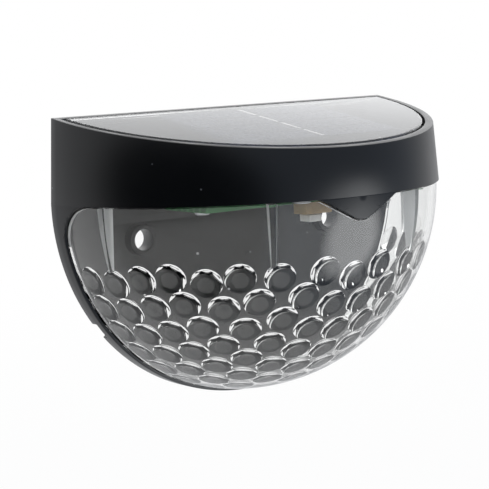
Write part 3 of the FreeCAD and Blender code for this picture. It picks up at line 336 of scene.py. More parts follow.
def half_round(name, low_radius, top_radius, straight, back, bottom, top):
    """The lamp's plan between two levels: round in front, short straight sides, a flat back."""
    depth = top - bottom
    bpy.ops.mesh.primitive_cone_add(vertices=ROUND_SEGMENTS, radius1=low_radius, radius2=top_radius,
                                    depth=depth, location=(0, -straight, bottom + depth / 2))
    piece = new_piece(name)
    slice_off(piece, (0, -straight, 0), (0, 1, 0))
    extrude(piece, lambda centre, normal: normal.y > 0.9, (0, straight - back, 0))
    return piece


def rim_point(depth):
    """The point of a plane parallel to the sloping rim, depth below it."""
    return Vector((0, 0, HOOD_TOP)) - SLOPE_NORMAL * depth


def lay_on_slope(piece, depth):
    """Turn a piece modelled flat at the origin into the sloping frame, depth below the rim."""
    piece.rotation_euler = (SLOPE, 0, 0)
    piece.location = rim_point(depth)
    settle(piece)


# ---------------------------------------------------------------- lens window, shared by hood and lens
def front_tab(name, gap):
    """The tab's outline, run through from front to back, with a slab over it."""
    rise = AXIS_LEVEL - gap
    low = AXIS_LEVEL - TAB_DROP - gap
    wide = TAB_HALF_WIDTH + gap * TAB_GAP_SHARE
    tip = TAB_TIP + gap * TAB_GAP_SHARE
    piece = block(name, (-FAR * 1.2, -FAR * 1.2, rise), (FAR * 1.2, MM, rise + TAB_SLAB))
    for side in (-1, 1):
        score(piece, (side * wide, 0, 0), (1, 0, 0))
    pick_faces(piece, lambda centre, normal: normal.z < -0.9 and abs(centre.x) < wide)
    bpy.ops.mesh.extrude_region_move(TRANSFORM_OT_translate={"value": (0, 0, low - rise)})
    bpy.ops.transform.resize(value=(tip / wide, 1, 1), center_override=(0, 0, 0))
    end_edit()
    half_turn = math.atan2(rise - low, wide - tip) / 2
    for reach, level, rounding, segments in (
            (tip, low, TAB_TIP_ROUNDING + gap, 12), (wide, rise, TAB_SHOULDER_ROUNDING - gap, 8)):
        pick_edges(piece, lambda a, b: abs(a.y - b.y) > MM and all(
            abs(abs(end.x) - reach) < LEVEL_REACH and abs(end.z - level) < LEVEL_REACH for end in (a, b)))
        bpy.ops.mesh.bevel(offset=rounding * math.tan(half_turn), segments=segments)
        end_edit()
    return piece


def lens_window(name, gap):
    """The space under the hood and in front of the side rim, less the tab."""
    edge, top = -(SIDE_RIM_DEPTH + gap), AXIS_LEVEL - gap
    piece = block(name, (-FAR, -FAR, -FAR), (FAR, edge, top))
    pick_edges(piece, lambda a, b: all(
        abs(end.y - edge) < LEVEL_REACH and abs(end.z - top) < LEVEL_REACH for end in (a, b)))
    bpy.ops.mesh.bevel(offset=CORNER_RADIUS - gap, segments=28)
    end_edit()
    combine(piece, front_tab(f"{name}_tab", gap))
    return piece


# ---------------------------------------------------------------- housing
def model_hood():
    """The round walls with the sloping panel recess, and the tray's posts inside."""
    hood = half_round("hood", BODY_RADIUS, RIM_RADIUS, STRAIGHT, 0, AXIS_LEVEL, HOOD_TOP)
    slice_off(hood, rim_point(0), SLOPE_NORMAL)
    room = half_round("room", INNER_RADIUS, INNER_RADIUS, STRAIGHT, PLATE_WALL,
                      AXIS_LEVEL - CUTTER_OVERSHOOT, HOOD_TOP)
    slice_off(room, rim_point(RECESS_DEPTH + FLOOR_WALL), SLOPE_NORMAL)
    combine(hood, room)
    recess = half_round("recess", INNER_RADIUS, INNER_RADIUS, STRAIGHT, PLATE_WALL,
                        AXIS_LEVEL, HOOD_TOP + CUTTER_OVERSHOOT)
    slice_off(recess, rim_point(RECESS_DEPTH), -SLOPE_NORMAL)
    combine(hood, recess)
    for x, y in ((BACK_POST_X, BACK_POST_Y), (FRONT_POST_X, FRONT_POST_Y)):
        for side in (-1, 1):
            top = HOOD_TOP - y * math.tan(SLOPE) - (RECESS_DEPTH + FLOOR_WALL / 2) / math.cos(SLOPE)
            post = rod("post", POST_RADIUS, (side * x, -y, TRAY_TOP), (side * x, -y, top))
            combine(hood, post, "UNION")
            combine(hood, rod("pilot", PILOT_RADIUS, (side * x, -y, TRAY_TOP - MM),
                              (side * x, -y, TRAY_TOP + PILOT_DEPTH), 20))
    combine(hood, rod("lead_hole", LEAD_HOLE_RADIUS,
                      (0, -LEAD_HOLE_Y, AXIS_LEVEL), (0, -LEAD_HOLE_Y, HOOD_TOP)))
    round_edges(hood, EDGE_ROUNDING)
    return hood


def model_rim():
    """Back plate, side rim and front tab, which run a little way up into the hood's walls."""
    rim = half_ball("side_rim", BODY_RADIUS, 0)
    slice_off(rim, (0, 0, AXIS_LEVEL), (0, 0, 1))
    pick_faces(rim, lambda centre, normal: normal.z > 0.9 and centre.z > AXIS_LEVEL - NEAR)
    bpy.ops.mesh.extrude_region_move(TRANSFORM_OT_translate={"value": (0, 0, RIM_BOND)})
    bpy.ops.transform.resize(value=(RIM_BOND_SHRINK, RIM_BOND_SHRINK, 1),
                             center_override=DOME_CENTRE)
    end_edit()
    combine(rim, half_ball("side_rim_inside", BODY_RADIUS - SHELL_WALL, PLATE_WALL))
    combine(rim, lens_window("opening", 0))
    for side in (-1, 1):
        x = side * SCREW_X
        combine(rim, rod("boss", SCREW_BOSS_RADIUS, (x, -SCREW_BOSS_LENGTH, 0), (x, -MM, 0)), "UNION")
        combine(rim, rod("hole", SCREW_HOLE_RADIUS, (x, -HOLE_CUTTER, 0), (x, MM, 0)))
        reach = BODY_RADIUS - NOTCH_DEPTH
        notch = block("notch", (reach, -PLATE_WALL, -NOTCH_WIDTH / 2),
                      (reach + NOTCH_CUTTER, MM, NOTCH_WIDTH / 2))
        notch.rotation_euler = (0, NOTCH_ANGLE if side > 0 else math.pi - NOTCH_ANGLE, 0)
        notch.location = (0, 0, AXIS_LEVEL)
        settle(notch)
        combine(rim, notch)
    merge_close(rim, RIM_MERGE)
    round_edges(rim, EDGE_ROUNDING)
    return rim


def model_housing():
    housing = join(model_rim(), model_hood())
    smooth(housing)
    return housing


# ---------------------------------------------------------------- lens
def model_bump():
    """One bump at the origin, pointing up, with a flat foot."""
    bpy.ops.mesh.primitive_uv_sphere_add(segments=40, ring_count=24, radius=BUMP_SPHERE,
                                         location=(0, 0, BUMP_HEIGHT - BUMP_SPHERE))
    piece = new_piece("bump")
    slice_off(piece, (0, 0, -BUMP_SEAT), (0, 0, -1))
    return piece


def model_bump_sets():
    """The bumps, copied round the dome ring by ring. Bumps that touch go into different sets,
    so each set is a clean closed tool."""
    first = model_bump()
    sets = []
    places = []
    for ring, count in enumerate(RING_BUMPS):
        forward = FIRST_RING + ring * RING_PITCH
        step = BUMP_PITCH / (LENS_INNER * math.cos(forward)) * RING_SPREAD[ring]
        for index in range(count):
            turn = math.pi / 2 + (index - (count - 1) / 2) * step
            outward = Vector((math.cos(forward) * math.cos(turn), -math.sin(forward),
                              -math.cos(forward) * math.sin(turn)))
            facing = (-outward).to_track_quat("Z", "Y").to_matrix().to_4x4()
            copy = copy_of(first, Matrix.Translation(DOME_CENTRE + outward * LENS_INNER) @ facing)
            clear = [all((outward - other).length * LENS_INNER > BUMP_CLEAR for other in group)
                     for group in places]
            if True not in clear:
                clear.append(True)
                places.append([])
                sets.append([])
            places[clear.index(True)].append(outward)
            sets[clear.index(True)].append(copy)
    bpy.data.objects.remove(first)
    return [join(*group) for group in sets]


def model_stem(plan_angle):
    """A tapered rib on the lens's inner face, with its tongue that grips inside the hood."""
    top = AXIS_LEVEL - LENS_GAP
    foot = top - STEM_LENGTH - STEM_RUNOUT
    outer = LENS_RADIUS - LENS_WALL / 2
    rib = block("rib", (STEM_INNER, -STEM_HALF_TOP, foot), (outer, STEM_HALF_TOP, top))
    narrow = STEM_HALF_FOOT / STEM_HALF_TOP
    pick_faces(rib, lambda centre, normal: normal.z < -0.9)
    bpy.ops.transform.resize(value=(1, narrow, 1), center_override=(0, 0, 0))
    end_edit()
    tongue_end = AXIS_LEVEL + TONGUE_LENGTH
    tongue = block("tongue", (STEM_INNER, -STEM_HALF_TOP, top - MM),
                   (STEM_INNER + TONGUE_WALL, STEM_HALF_TOP, tongue_end))
    pick_faces(tongue, lambda centre, normal: normal.z > 0.9)
    bpy.ops.transform.resize(value=(1, TONGUE_TAPER, 1), center_override=(0, 0, 0))
    end_edit()
    for piece in (rib, tongue):
        piece.rotation_euler = (0, 0, -math.radians(plan_angle))
        piece.location = (0, -STRAIGHT, 0)
        settle(piece)
    combine(rib, ball("within", outer, 96), "INTERSECT")
    combine(rib, tongue, "UNION")
    return rib


def model_lens():
    lens = ball("dome_lens", LENS_RADIUS, ROUND_SEGMENTS)
    combine(lens, ball("hollow", LENS_INNER, ROUND_SEGMENTS))
    for bumps in model_bump_sets():
        combine(lens, bumps, "UNION")
    combine(lens, lens_window("lens_outline", LENS_GAP), "INTERSECT")
    for plan_angle in STEM_ANGLES:
        combine(lens, model_stem(plan_angle), "UNION")
    merge_close(lens, LENS_MERGE)
    smooth(lens, 28)
    return lens


def is_cut_edge(place):
    """Is this place on the lens between its faces, where the outline is cut?"""
    reach = (place - DOME_CENTRE).length
    return LENS_INNER + CUT_EDGE_MARGIN < reach < LENS_RADIUS - CUT_EDGE_MARGIN


def is_stem_flank(place):
    """Is this place on a stem's side, clear of the stem's inner face and of the dome's wall?"""
    local = place - DOME_CENTRE
    for plan_angle in STEM_ANGLES:
        turn = -math.radians(plan_angle)
        along = local.x * math.cos(turn) + local.y * math.sin(turn)
        across = local.y * math.cos(turn) - local.x * math.sin(turn)
        beside = FLANK_NEAREST < abs(across) < FLANK_FURTHEST
        if beside and along > FLANK_START and local.length < FLANK_END:
            return True
    return False


def mark_painted_highlight_faces(lens):
    """The second finish, white haze as a painted highlight, goes on the cut edges and the stems' flanks."""
    lens.data.materials.append(edge_haze_painted_highlight("styrene_painted_edge_highlight"))
    for face in lens.data.polygons:
        face.material_index = int(is_cut_edge(face.center) or is_stem_flank(face.center))


# ---------------------------------------------------------------- solar panel
def panel_plate(name, depth_top, thickness):
    """A plate with the panel's outline, its top depth_top below the rim."""
    straight = (STRAIGHT + RIM_RADIUS) / math.cos(SLOPE) - RIM_RADIUS
    radius = INNER_RADIUS - PANEL_GAP
    piece = half_round(name, radius, radius, straight, PLATE_WALL + PANEL_GAP, -thickness, 0)
    lay_on_slope(piece, depth_top)
    return piece


def model_epoxy():
    epoxy = panel_plate("epoxy_dome", EPOXY_TOP, EPOXY_THICKNESS)
    pick_faces(epoxy, lambda centre, normal: normal.dot(SLOPE_NORMAL) > 0.99)
    bpy.ops.mesh.region_to_loop()
    bpy.ops.mesh.bevel(offset=EPOXY_ROUNDING, segments=6)
    end_edit()
    smooth(epoxy, 40)
    return epoxy


# ---------------------------------------------------------------- shader arithmetic
class Value:
    """A number or colour inside a material; arithmetic on it adds the nodes."""

    def __init__(self, finish, socket):
        self.finish = finish
        self.socket = socket

    def math(self, operation, first, second=0.0):
        return self.finish.add("ShaderNodeMath", {"operation": operation}, {0: first, 1: second})

    def __add__(self, other):
        return self.math("ADD", self, other)

    def __radd__(self, other):
        return self.math("ADD", other, self)

    def __sub__(self, other):
        return self.math("SUBTRACT", self, other)

    def __rsub__(self, other):
        return self.math("SUBTRACT", other, self)

    def __mul__(self, other):
        return self.math("MULTIPLY", self, other)

    def __rmul__(self, other):
        return self.math("MULTIPLY", other, self)

    def __truediv__(self, other):
        return self.math("DIVIDE", self, other)

    def __pow__(self, other):
        return self.math("POWER", self, other)

    def __gt__(self, other):
        return self.math("GREATER_THAN", self, other)

    def __lt__(self, other):
        return self.math("LESS_THAN", self, other)


class Finish:
    """A procedural material, built from object coordinates."""

    def __init__(self, name, tree=None):
        if tree is None:
            self.material = bpy.data.materials.new(name)
            self.material.use_nodes = True
            tree = self.material.node_tree
        self.tree = tree
        self.tree.nodes.clear()
        self.place = self.add("ShaderNodeTexCoord", output="Object")

    def add(self, kind, settings=None, inputs=None, output=0):
        """Any node: its settings first, then the values or links of its sockets."""
        node = self.tree.nodes.new(kind)
        for name, setting in (settings or {}).items():
            setattr(node, name, setting)
        for name, value in (inputs or {}).items():
            if isinstance(value, Value):
                self.tree.links.new(value.socket, node.inputs[name])
            else:
                node.inputs[name].default_value = value
        return Value(self, node.outputs[output])

    def noise(self, size, detail=2.0, roughness=0.5, stretch=(1, 1, 1)):
        """Noise whose features are about size metres across."""
        place = self.add("ShaderNodeMapping", None, {"Vector": self.place, "Scale": stretch})
        return self.add("ShaderNodeTexNoise", None,
                        {"Vector": place, "Scale": 1 / size, "Detail": detail, "Roughness": roughness},
                        "Fac")

    def ramp(self, value, low, high):
        """0 below low, 1 above high."""
        return self.add("ShaderNodeMapRange", None, {0: value, 1: low, 2: high, 3: 0.0, 4: 1.0})

    def blend(self, factor, first, second):
        node = self.tree.nodes.new("ShaderNodeMix")
        node.data_type = "RGBA"
        sockets = (node.inputs[0], node.inputs[6], node.inputs[7])
        for socket, value in zip(sockets, (factor, first, second)):
            if isinstance(value, Value):
                self.tree.links.new(value.socket, socket)
            else:
                socket.default_value = value if isinstance(value, float) else (*value, 1.0)[:4]
        return Value(self, node.outputs[2])

    def bump(self, height, distance, strength):
        return self.add("ShaderNodeBump", None,
                        {"Height": height, "Distance": distance, "Strength": strength})

    def specks(self, size, amount):
        """Sparse small dust specks, as a mask; the amount is the share of places that have one."""
        scatter = {"Vector": self.place, "Scale": 1 / size, "Randomness": 1.0}
        cells = self.add("ShaderNodeTexVoronoi", None, scatter, "Distance")
        chance = self.add("ShaderNodeTexVoronoi", None, scatter, "Color")
        pick = self.add("ShaderNodeSeparateColor", None, {0: chance}, 0)
        return (cells < SPECK_REACH) * (pick > 1 - amount)

    def ray(self, kind):
        """1 for rays of this kind, such as Camera or Shadow."""
        return self.add("ShaderNodeLightPath", output=f"Is {kind} Ray")

    def seen(self):
        """1 for rays from the camera, straight or through clear plastic."""
        camera = self.ray("Camera")
        return camera.math("MAXIMUM", camera, self.ray("Transmission"))

    def principled(self, **sockets):
        named = {name.replace("_", " "): value for name, value in sockets.items()}
        return self.add("ShaderNodeBsdfPrincipled", None, named)

    def mix(self, factor, first, second):
        """The first shader where the factor is 0, the second where it is 1."""
        return self.add("ShaderNodeMixShader", None, {0: factor, 1: first, 2: second})

    def close(self, shader, kind="ShaderNodeOutputMaterial"):
        output = self.tree.nodes.new(kind)
        self.tree.links.new(shader.socket, output.inputs["Surface"])


def colour(red, green, blue):
    return (red, green, blue, 1.0)


# ---------------------------------------------------------------- finishes
def moulded_black(name, dark, light, rough, grain):
    """Black injection-moulded plastic with a fine grain, a little dust and uneven gloss."""
    finish = Finish(name)
    cloud = finish.noise(18 * MM, 3.0)
    dust = finish.specks(2.6 * MM, 0.05)
    base = finish.blend(cloud, dark, light)
    base = finish.blend(dust * 0.5, base, (0.22, 0.23, 0.25))
    patch = finish.noise(7 * MM, 4.0, 0.6)
    fine = finish.noise(grain, 2.0, 0.6)
    waves = finish.noise(26 * MM, 1.0)
    height = fine * 0.35 + waves * 6.0
    shader = finish.principled(Base_Color=base, Roughness=patch * 0.1 + rough, IOR=1.46,
                               Normal=finish.bump(height, 0.03 * MM, 0.5))
    finish.close(shader)
    return finish.material


def clear_plastic(name, tint, ior, rough, ripple_size, ripple, dust_amount):
    """Clear moulded or poured plastic: light passes to what lies behind it."""
    finish = Finish(name)
    ripple_noise = finish.noise(ripple_size, 2.0, 0.45)
    smear = finish.noise(14 * MM, 4.0, 0.6)
    dust = finish.specks(3.2 * MM, dust_amount)
    normal = finish.bump(ripple_noise, ripple, 1.0)
    glass = finish.principled(Base_Color=colour(*tint), IOR=ior, Transmission_Weight=1.0, Normal=normal,
                              Roughness=finish.ramp(smear, 0.5, 0.8) * 0.03 + rough)
    speck = finish.add("ShaderNodeBsdfDiffuse", None, {"Color": colour(0.8, 0.8, 0.8)})
    dusty = finish.mix(dust * 0.6, glass, speck)
    through = finish.add("ShaderNodeBsdfTransparent", None,
                         {"Color": colour(*(part * 0.97 for part in tint))})
    finish.close(finish.mix(finish.ray("Shadow"), dusty, through))
    return finish.material


def edge_haze_painted_highlight(name):
    """The lens's cut edges and stem flanks: rough clear plastic with white diffuse haze mixed in, a painted
    highlight for the light these edges catch.
    """
    finish = Finish(name)
    grain = finish.noise(0.25 * MM, 3.0, 0.6)
    cloud = finish.noise(4 * MM, 3.0)
    clear = finish.principled(Base_Color=colour(0.97, 0.98, 0.97), Roughness=cloud * 0.2 + 0.3, IOR=1.55,
                              Transmission_Weight=1.0, Normal=finish.bump(grain, 0.02 * MM, 0.8))
    # painted highlight: white diffuse haze that makes the cut edges and stem flanks read as bright lines
    painted_highlight_haze = finish.add("ShaderNodeBsdfDiffuse", None, {"Color": colour(0.9, 0.92, 0.93)})
    finish.close(finish.mix(cloud * 0.2 + 0.45, clear, painted_highlight_haze))
    return finish.material


def plain_plastic(name, base_colour, rough, grain=0.4 * MM, depth=0.01 * MM, vary=0.12):
    """Small moulded pieces, boards and sleeves: a fine grain and slightly uneven colour."""
    finish = Finish(name)
    cloud = finish.noise(3 * MM, 3.0)
    darker = tuple(part * (1 - vary * 2) for part in base_colour)
    base = finish.blend(cloud, darker, base_colour)
    fine = finish.noise(grain, 2.0)
    shader = finish.principled(Base_Color=base, Roughness=cloud * 0.12 + rough, IOR=1.5,
                               Normal=finish.bump(fine, depth, 0.6))
    finish.close(shader)
    return finish.material


def metal(name, base_colour, rough, stretch=(1, 1, 1)):
    finish = Finish(name)
    streak = finish.noise(0.3 * MM, 3.0, 0.6, stretch)
    stain = finish.noise(4 * MM, 3.0)
    base = finish.blend(stain, tuple(part * 0.8 for part in base_colour), base_colour)
    shader = finish.principled(Base_Color=base, Metallic=1.0, Roughness=streak * 0.18 + rough,
                               Normal=finish.bump(streak, 0.006 * MM, 0.7))
    finish.close(shader)
    return finish.material


def silicon(name):
    """Dark cell strips with thin printed fingers across them."""
    finish = Finish(name)
    parts = finish.add("ShaderNodeSeparateXYZ", None, {0: finish.place}, "Y")
    phase = finish.add("ShaderNodeMath", {"operation": "FRACT"}, {0: parts * (1 / FINGER_PITCH)})
    finger = phase < FINGER_SHARE
    grain = finish.noise(2.5 * MM, 4.0, 0.7)
    base = finish.blend(grain, (0.010, 0.013, 0.030), (0.022, 0.028, 0.055))
    base = finish.blend(finger * 0.7, base, (0.35, 0.36, 0.38))
    shader = finish.principled(Base_Color=base, Roughness=grain * 0.1 + 0.22, IOR=1.8,
                               Normal=finish.bump(finger, 0.02 * MM, 0.5))
    finish.close(shader)
    return finish.material


def solder_mask(name, mask, trace):
    """A board's lacquer over copper tracks that show as paler lines."""
    finish = Finish(name)
    cells = finish.add("ShaderNodeTexBrick", {"offset": 0.35, "squash": 1.6},
                       {"Vector": finish.place, "Scale": 1 / (9 * MM), "Mortar Size": 0.05,
                        "Mortar Smooth": 0.1, "Brick Width": 0.9, "Row Height": 0.31}, "Fac")
    cloud = finish.noise(5 * MM, 3.0)
    weave = finish.noise(0.35 * MM, 1.0)
    base = finish.blend(cells, mask, trace)
    base = finish.blend(cloud * 0.35, base, tuple(part * 0.6 for part in mask))
    shader = finish.principled(Base_Color=base, Roughness=cloud * 0.12 + 0.24,
                               Normal=finish.bump(cells * 0.8 + weave * 0.2, 0.03 * MM, 0.6))
    finish.close(shader)
    return finish.material


FINISHES = {
    "housing_plastic": moulded_black("black_abs", (0.0016, 0.0019, 0.0026), (0.0032, 0.0036, 0.0046),
                                     0.25, 0.5 * MM),
    "clear_lens": clear_plastic("clear_styrene", (0.985, 0.99, 0.985), 1.55, 0.0, 16 * MM, 0.02 * MM, 0.035),
    "panel_epoxy": clear_plastic("poured_epoxy", (0.97, 0.975, 0.97), 1.52, 0.035, 9 * MM, 0.012 * MM, 0.06),
    "solar_cells": silicon("cell_silicon"),
    "ribbon_metal": metal("tinned_ribbon", (0.85, 0.85, 0.84), 0.3, (1, 0.1, 1)),
    "panel_board": plain_plastic("panel_board_black", (0.012, 0.013, 0.015), 0.3),
    "adhesive": plain_plastic("foam_tape", (0.55, 0.55, 0.52), 0.8, 0.5 * MM, 0.05 * MM),
    "tray_plastic": moulded_black("tray_abs", (0.006, 0.006, 0.007), (0.010, 0.010, 0.011), 0.42, 0.4 * MM),
    "screw_steel": metal("zinc_steel", (0.62, 0.63, 0.65), 0.28),
    "cell_wrap": plain_plastic("cell_sleeve", (0.10, 0.30, 0.16), 0.22, 0.8 * MM),
    "contact_metal": metal("nickel_leaf", (0.74, 0.72, 0.68), 0.22, (1, 1, 0.1)),
    "green_board": solder_mask("green_lacquer", (0.025, 0.16, 0.045), (0.06, 0.28, 0.09)),
    # the lamp packages are white; this tan is darkened as painted shade for their place under the board
    "led_package": plain_plastic("led_ceramic_painted_shade", (0.55, 0.52, 0.40), 0.35),
    "chip_black": plain_plastic("chip_epoxy", (0.02, 0.02, 0.021), 0.5, 0.15 * MM),
    "inductor_ferrite": plain_plastic("ferrite", (0.035, 0.033, 0.032), 0.45, 0.2 * MM, 0.02 * MM),
    "capacitor_can": metal("drawn_can", (0.78, 0.78, 0.80), 0.2),
    "chip_ceramic": plain_plastic("ceramic_chips", (0.30, 0.22, 0.15), 0.4),
    "switch_tan": plain_plastic("switch_phenolic", (0.42, 0.29, 0.13), 0.45, 0.3 * MM, 0.02 * MM, 0.2),
    "switch_white": plain_plastic("white_nylon", (0.82, 0.82, 0.80), 0.35),
    "lead_red": plain_plastic("red_insulation", (0.5, 0.02, 0.015), 0.4),
    "lead_black": plain_plastic("black_insulation", (0.015, 0.015, 0.016), 0.4),
}
SLOT_OF = {entry["node"]: entry["material_slot"] for entry in frame["record"]["subparts"]}


def coat(piece, slot):
    """Give a piece the one finish that belongs to a slot."""
    piece.data.materials.clear()
    piece.data.materials.append(FINISHES[slot])


def stand_for(piece, node, body="lamp"):
    """A modelled piece takes a CAD node's place, body and finish."""
    coat(piece, SLOT_OF[node])
    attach(piece, body)
    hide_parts(node)


def dress_plain_nodes(replaced):
    for name, node in frame["nodes"].items():
        if name not in replaced:
            node.data.materials.clear()
            node.data.materials.append(FINISHES[SLOT_OF[name]])


# ---------------------------------------------------------------- switch
def model_switch():
    low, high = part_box("switch_body")
    body = block("switch_block", low, high)
    width = high.x - low.x
    middle = (low + high) / 2
    half_long, half_wide = SWITCH_SLOT_LENGTH * width, SWITCH_SLOT_WIDTH * width
    slot = block("slot", (middle.x - half_long, middle.y - half_wide, low.z - MM),
                 (middle.x + half_long, middle.y + half_wide, high.z - SWITCH_ROOF))
    combine(body, slot)
    round_edges(body, 0.25 * MM, segments=3)
    smooth(body)
    low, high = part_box("switch_knob")
    grip_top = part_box("switch_body")[0].z - GRIP_GAP
    knob = block("switch_grip", low, (high.x, high.y, grip_top))
    centre = (low + high) / 2
    shaft = block("shaft", (centre.x - MM, centre.y - MM, grip_top - MM),
                  (centre.x + MM, centre.y + MM, high.z))
    combine(knob, shaft, "UNION")
    round_edges(knob, 0.3 * MM, segments=3)
    smooth(knob)
    return body, knob


# ---------------------------------------------------------------- screws and lamps on the board
HEAD_ROUNDING = 0.55              # shares of a screw head's height
RECESS_BOTTOM = 0.35
SHANK_SEAT = 0.3
RECESS_REACH = 0.58               # shares of its radius
RECESS_HALF_WIDTH = 0.13
RECESS_TURN = 0.4                 # radians, so that no cross stands square to the lamp
SHANK_CORE = 0.8                  # shares of the shank's radius
THREAD_CORE = 0.78
THREAD_PITCH = 0.75
THREAD_HEIGHT = 0.36              # share of the pitch
THREAD_LENGTH = 0.85              # shares of the screw's length
POINT_LENGTH = 0.1
POINT_TAPER = 0.25
SCREW_TURN = 1.1                  # radians from one screw to the next


def add_thread(name, core, pitch, bottom, turns):
    """A helical ridge round the Z axis, closed at both ends."""
    bpy.ops.mesh.primitive_circle_add(vertices=3, radius=pitch * THREAD_HEIGHT, location=(core, 0, bottom),
                                      rotation=(math.pi / 2, 0, 0))
    ridge = new_piece(name)
    only(ridge)
    turn = ridge.modifiers.new("turns", "SCREW")
    turn.angle = 2 * math.pi
    turn.screw_offset = pitch
    turn.iterations = turns
    turn.steps = turn.render_steps = 20
    bpy.ops.object.modifier_apply(modifier="turns")
    pick_edges(ridge, lambda a, b: False)
    bpy.ops.mesh.select_non_manifold()
    bpy.ops.mesh.edge_face_add()
    bpy.ops.mesh.select_all(action="SELECT")
    bpy.ops.mesh.normals_make_consistent(inside=False)
    end_edit()
    return ridge


def model_screw(name, head_radius, head_height, shank_radius, length):
    """A pan-head screw that points up from Z = 0, with a thread and a cross recess in its head."""
    head = rod(f"{name}_head", head_radius, (0, 0, -head_height), (0, 0, 0), 40)
    pick_faces(head, lambda centre, normal: normal.z < -0.9)
    bpy.ops.mesh.region_to_loop()
    bpy.ops.mesh.bevel(offset=head_height * HEAD_ROUNDING, segments=5)
    end_edit()
    for turn in (0, math.pi / 2):
        reach, half_width = head_radius * RECESS_REACH, head_radius * RECESS_HALF_WIDTH
        wing = block("cross", (-reach, -half_width, -head_height - MM),
                     (reach, half_width, -head_height * RECESS_BOTTOM))
        wing.rotation_euler = (0, 0, turn + RECESS_TURN)
        settle(wing)
        combine(head, wing)
    shank = rod(f"{name}_shank", shank_radius * SHANK_CORE, (0, 0, -head_height * SHANK_SEAT),
                (0, 0, length * (1 - POINT_LENGTH)), 24)
    pick_faces(shank, lambda centre, normal: normal.z > 0.9)
    bpy.ops.mesh.extrude_region_move(TRANSFORM_OT_translate={"value": (0, 0, length * POINT_LENGTH)})
    bpy.ops.transform.resize(value=(POINT_TAPER, POINT_TAPER, 1), center_override=(0, 0, length))
    end_edit()
    pitch = shank_radius * THREAD_PITCH
    ridge = add_thread(f"{name}_thread", shank_radius * THREAD_CORE, pitch, pitch,
                       int(length * THREAD_LENGTH / pitch) - 2)
    screw = join(head, shank, ridge)
    smooth(screw, 35)
    return screw


def place_screws(name, screw, places):
    """Copies of one screw at the given places, joined into one piece."""
    copies = [copy_of(screw, Matrix.Translation(place) @ Matrix.Rotation(index * SCREW_TURN, 4, "Z"))
              for index, place in enumerate(places)]
    bpy.data.objects.remove(screw)
    piece = join(*copies)
    piece.name = piece.data.name = name
    return piece


def model_tray_screws():
    low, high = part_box("tray_screws")
    seat = low.z + TRAY_HEAD_HEIGHT
    screw = model_screw("tray_screw", TRAY_HEAD_RADIUS, TRAY_HEAD_HEIGHT, TRAY_SCREW_RADIUS,
                        high.z - seat)
    places = [Vector((side * x, -y, seat)) for side in (-1, 1)
              for x, y in ((BACK_POST_X, BACK_POST_Y), (FRONT_POST_X, FRONT_POST_Y))]
    return place_screws("cross_screws", screw, places)


def model_board_screws():
    low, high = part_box("board_screws")
    seat = low.z + BOARD_HEAD_HEIGHT
    screw = model_screw("board_screw", BOARD_HEAD_RADIUS, BOARD_HEAD_HEIGHT, BOARD_SCREW_RADIUS,
                        high.z - seat)
    reach = high.x - BOARD_HEAD_RADIUS
    middle = (low.y + high.y) / 2
    places = [Vector((side * reach, middle, seat)) for side in (-1, 1)]
    return place_screws("small_cross_screws", screw, places)


def led_row():
    """The corners of the row of lamps, and the pitch from one lamp to the next."""
    low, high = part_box("leds")
    return low, high, (high.x - low.x - LED_LENGTH) / (LED_COUNT - 1)


def model_leds():
    """White lamp packages under the board, each with a round well of yellow phosphor and two
    soldered ends."""
    low, high, pitch = led_row()
    middle = (low.y + high.y) / 2
    pieces = []
    for index in range(LED_COUNT):
        x = low.x + LED_LENGTH / 2 + index * pitch
        body = block("led_body", (x - LED_BODY_HALF, low.y, low.z), (x + LED_BODY_HALF, high.y, high.z))
        round_edges(body, 0.12 * MM)
        combine(body, rod("well", LED_WELL_RADIUS, (x, middle, low.z - MM),
                          (x, middle, low.z + LED_WELL_DEPTH)))
        for side in (-1, 1):
            end_x = x + side * LED_END_PLACE
            end = block("led_end", (end_x - LED_END_HALF, low.y + LED_END_INSET, high.z - LED_END_HEIGHT),
                        (end_x + LED_END_HALF, high.y - LED_END_INSET, high.z))
            round_edges(end, 0.08 * MM)
            pieces.append(end)
        pieces.append(body)
    leds = join(*pieces)
    leds.name = leds.data.name = "led_row"
    smooth(leds)
    return leds


def mark_led_faces(leds):
    """Phosphor in the wells and tin on the soldered ends."""
    low, high, pitch = led_row()
    leds.data.materials.append(plain_plastic("yellow_phosphor", (0.75, 0.52, 0.06), 0.3, 0.12 * MM))
    leds.data.materials.append(metal("solder_tin", (0.72, 0.72, 0.70), 0.25))
    for face in leds.data.polygons:
        place = face.center
        offset = abs((place.x - low.x - LED_LENGTH / 2 + pitch / 2) % pitch - pitch / 2)
        if face.normal.z < -0.9 and abs(place.z - low.z - LED_WELL_DEPTH) < 0.05 * MM:
            face.material_index = 1
        elif place.z > high.z - LED_END_HEIGHT - LED_FACE_MARGIN and offset > LED_END_FACES:
            face.material_index = 2


# ---------------------------------------------------------------- stage, light and camera
CAMERA_PLACE = Vector((-288.33, -416.35, 52.88)) * MM
CAMERA_AZIMUTH = math.radians(-35.143)
CAMERA_HEIGHT_ANGLE = math.radians(6.541)
CAMERA_ROLL = math.radians(-2.622)
CAMERA_LENS = 131.76
CAMERA_SENSOR = 36.0


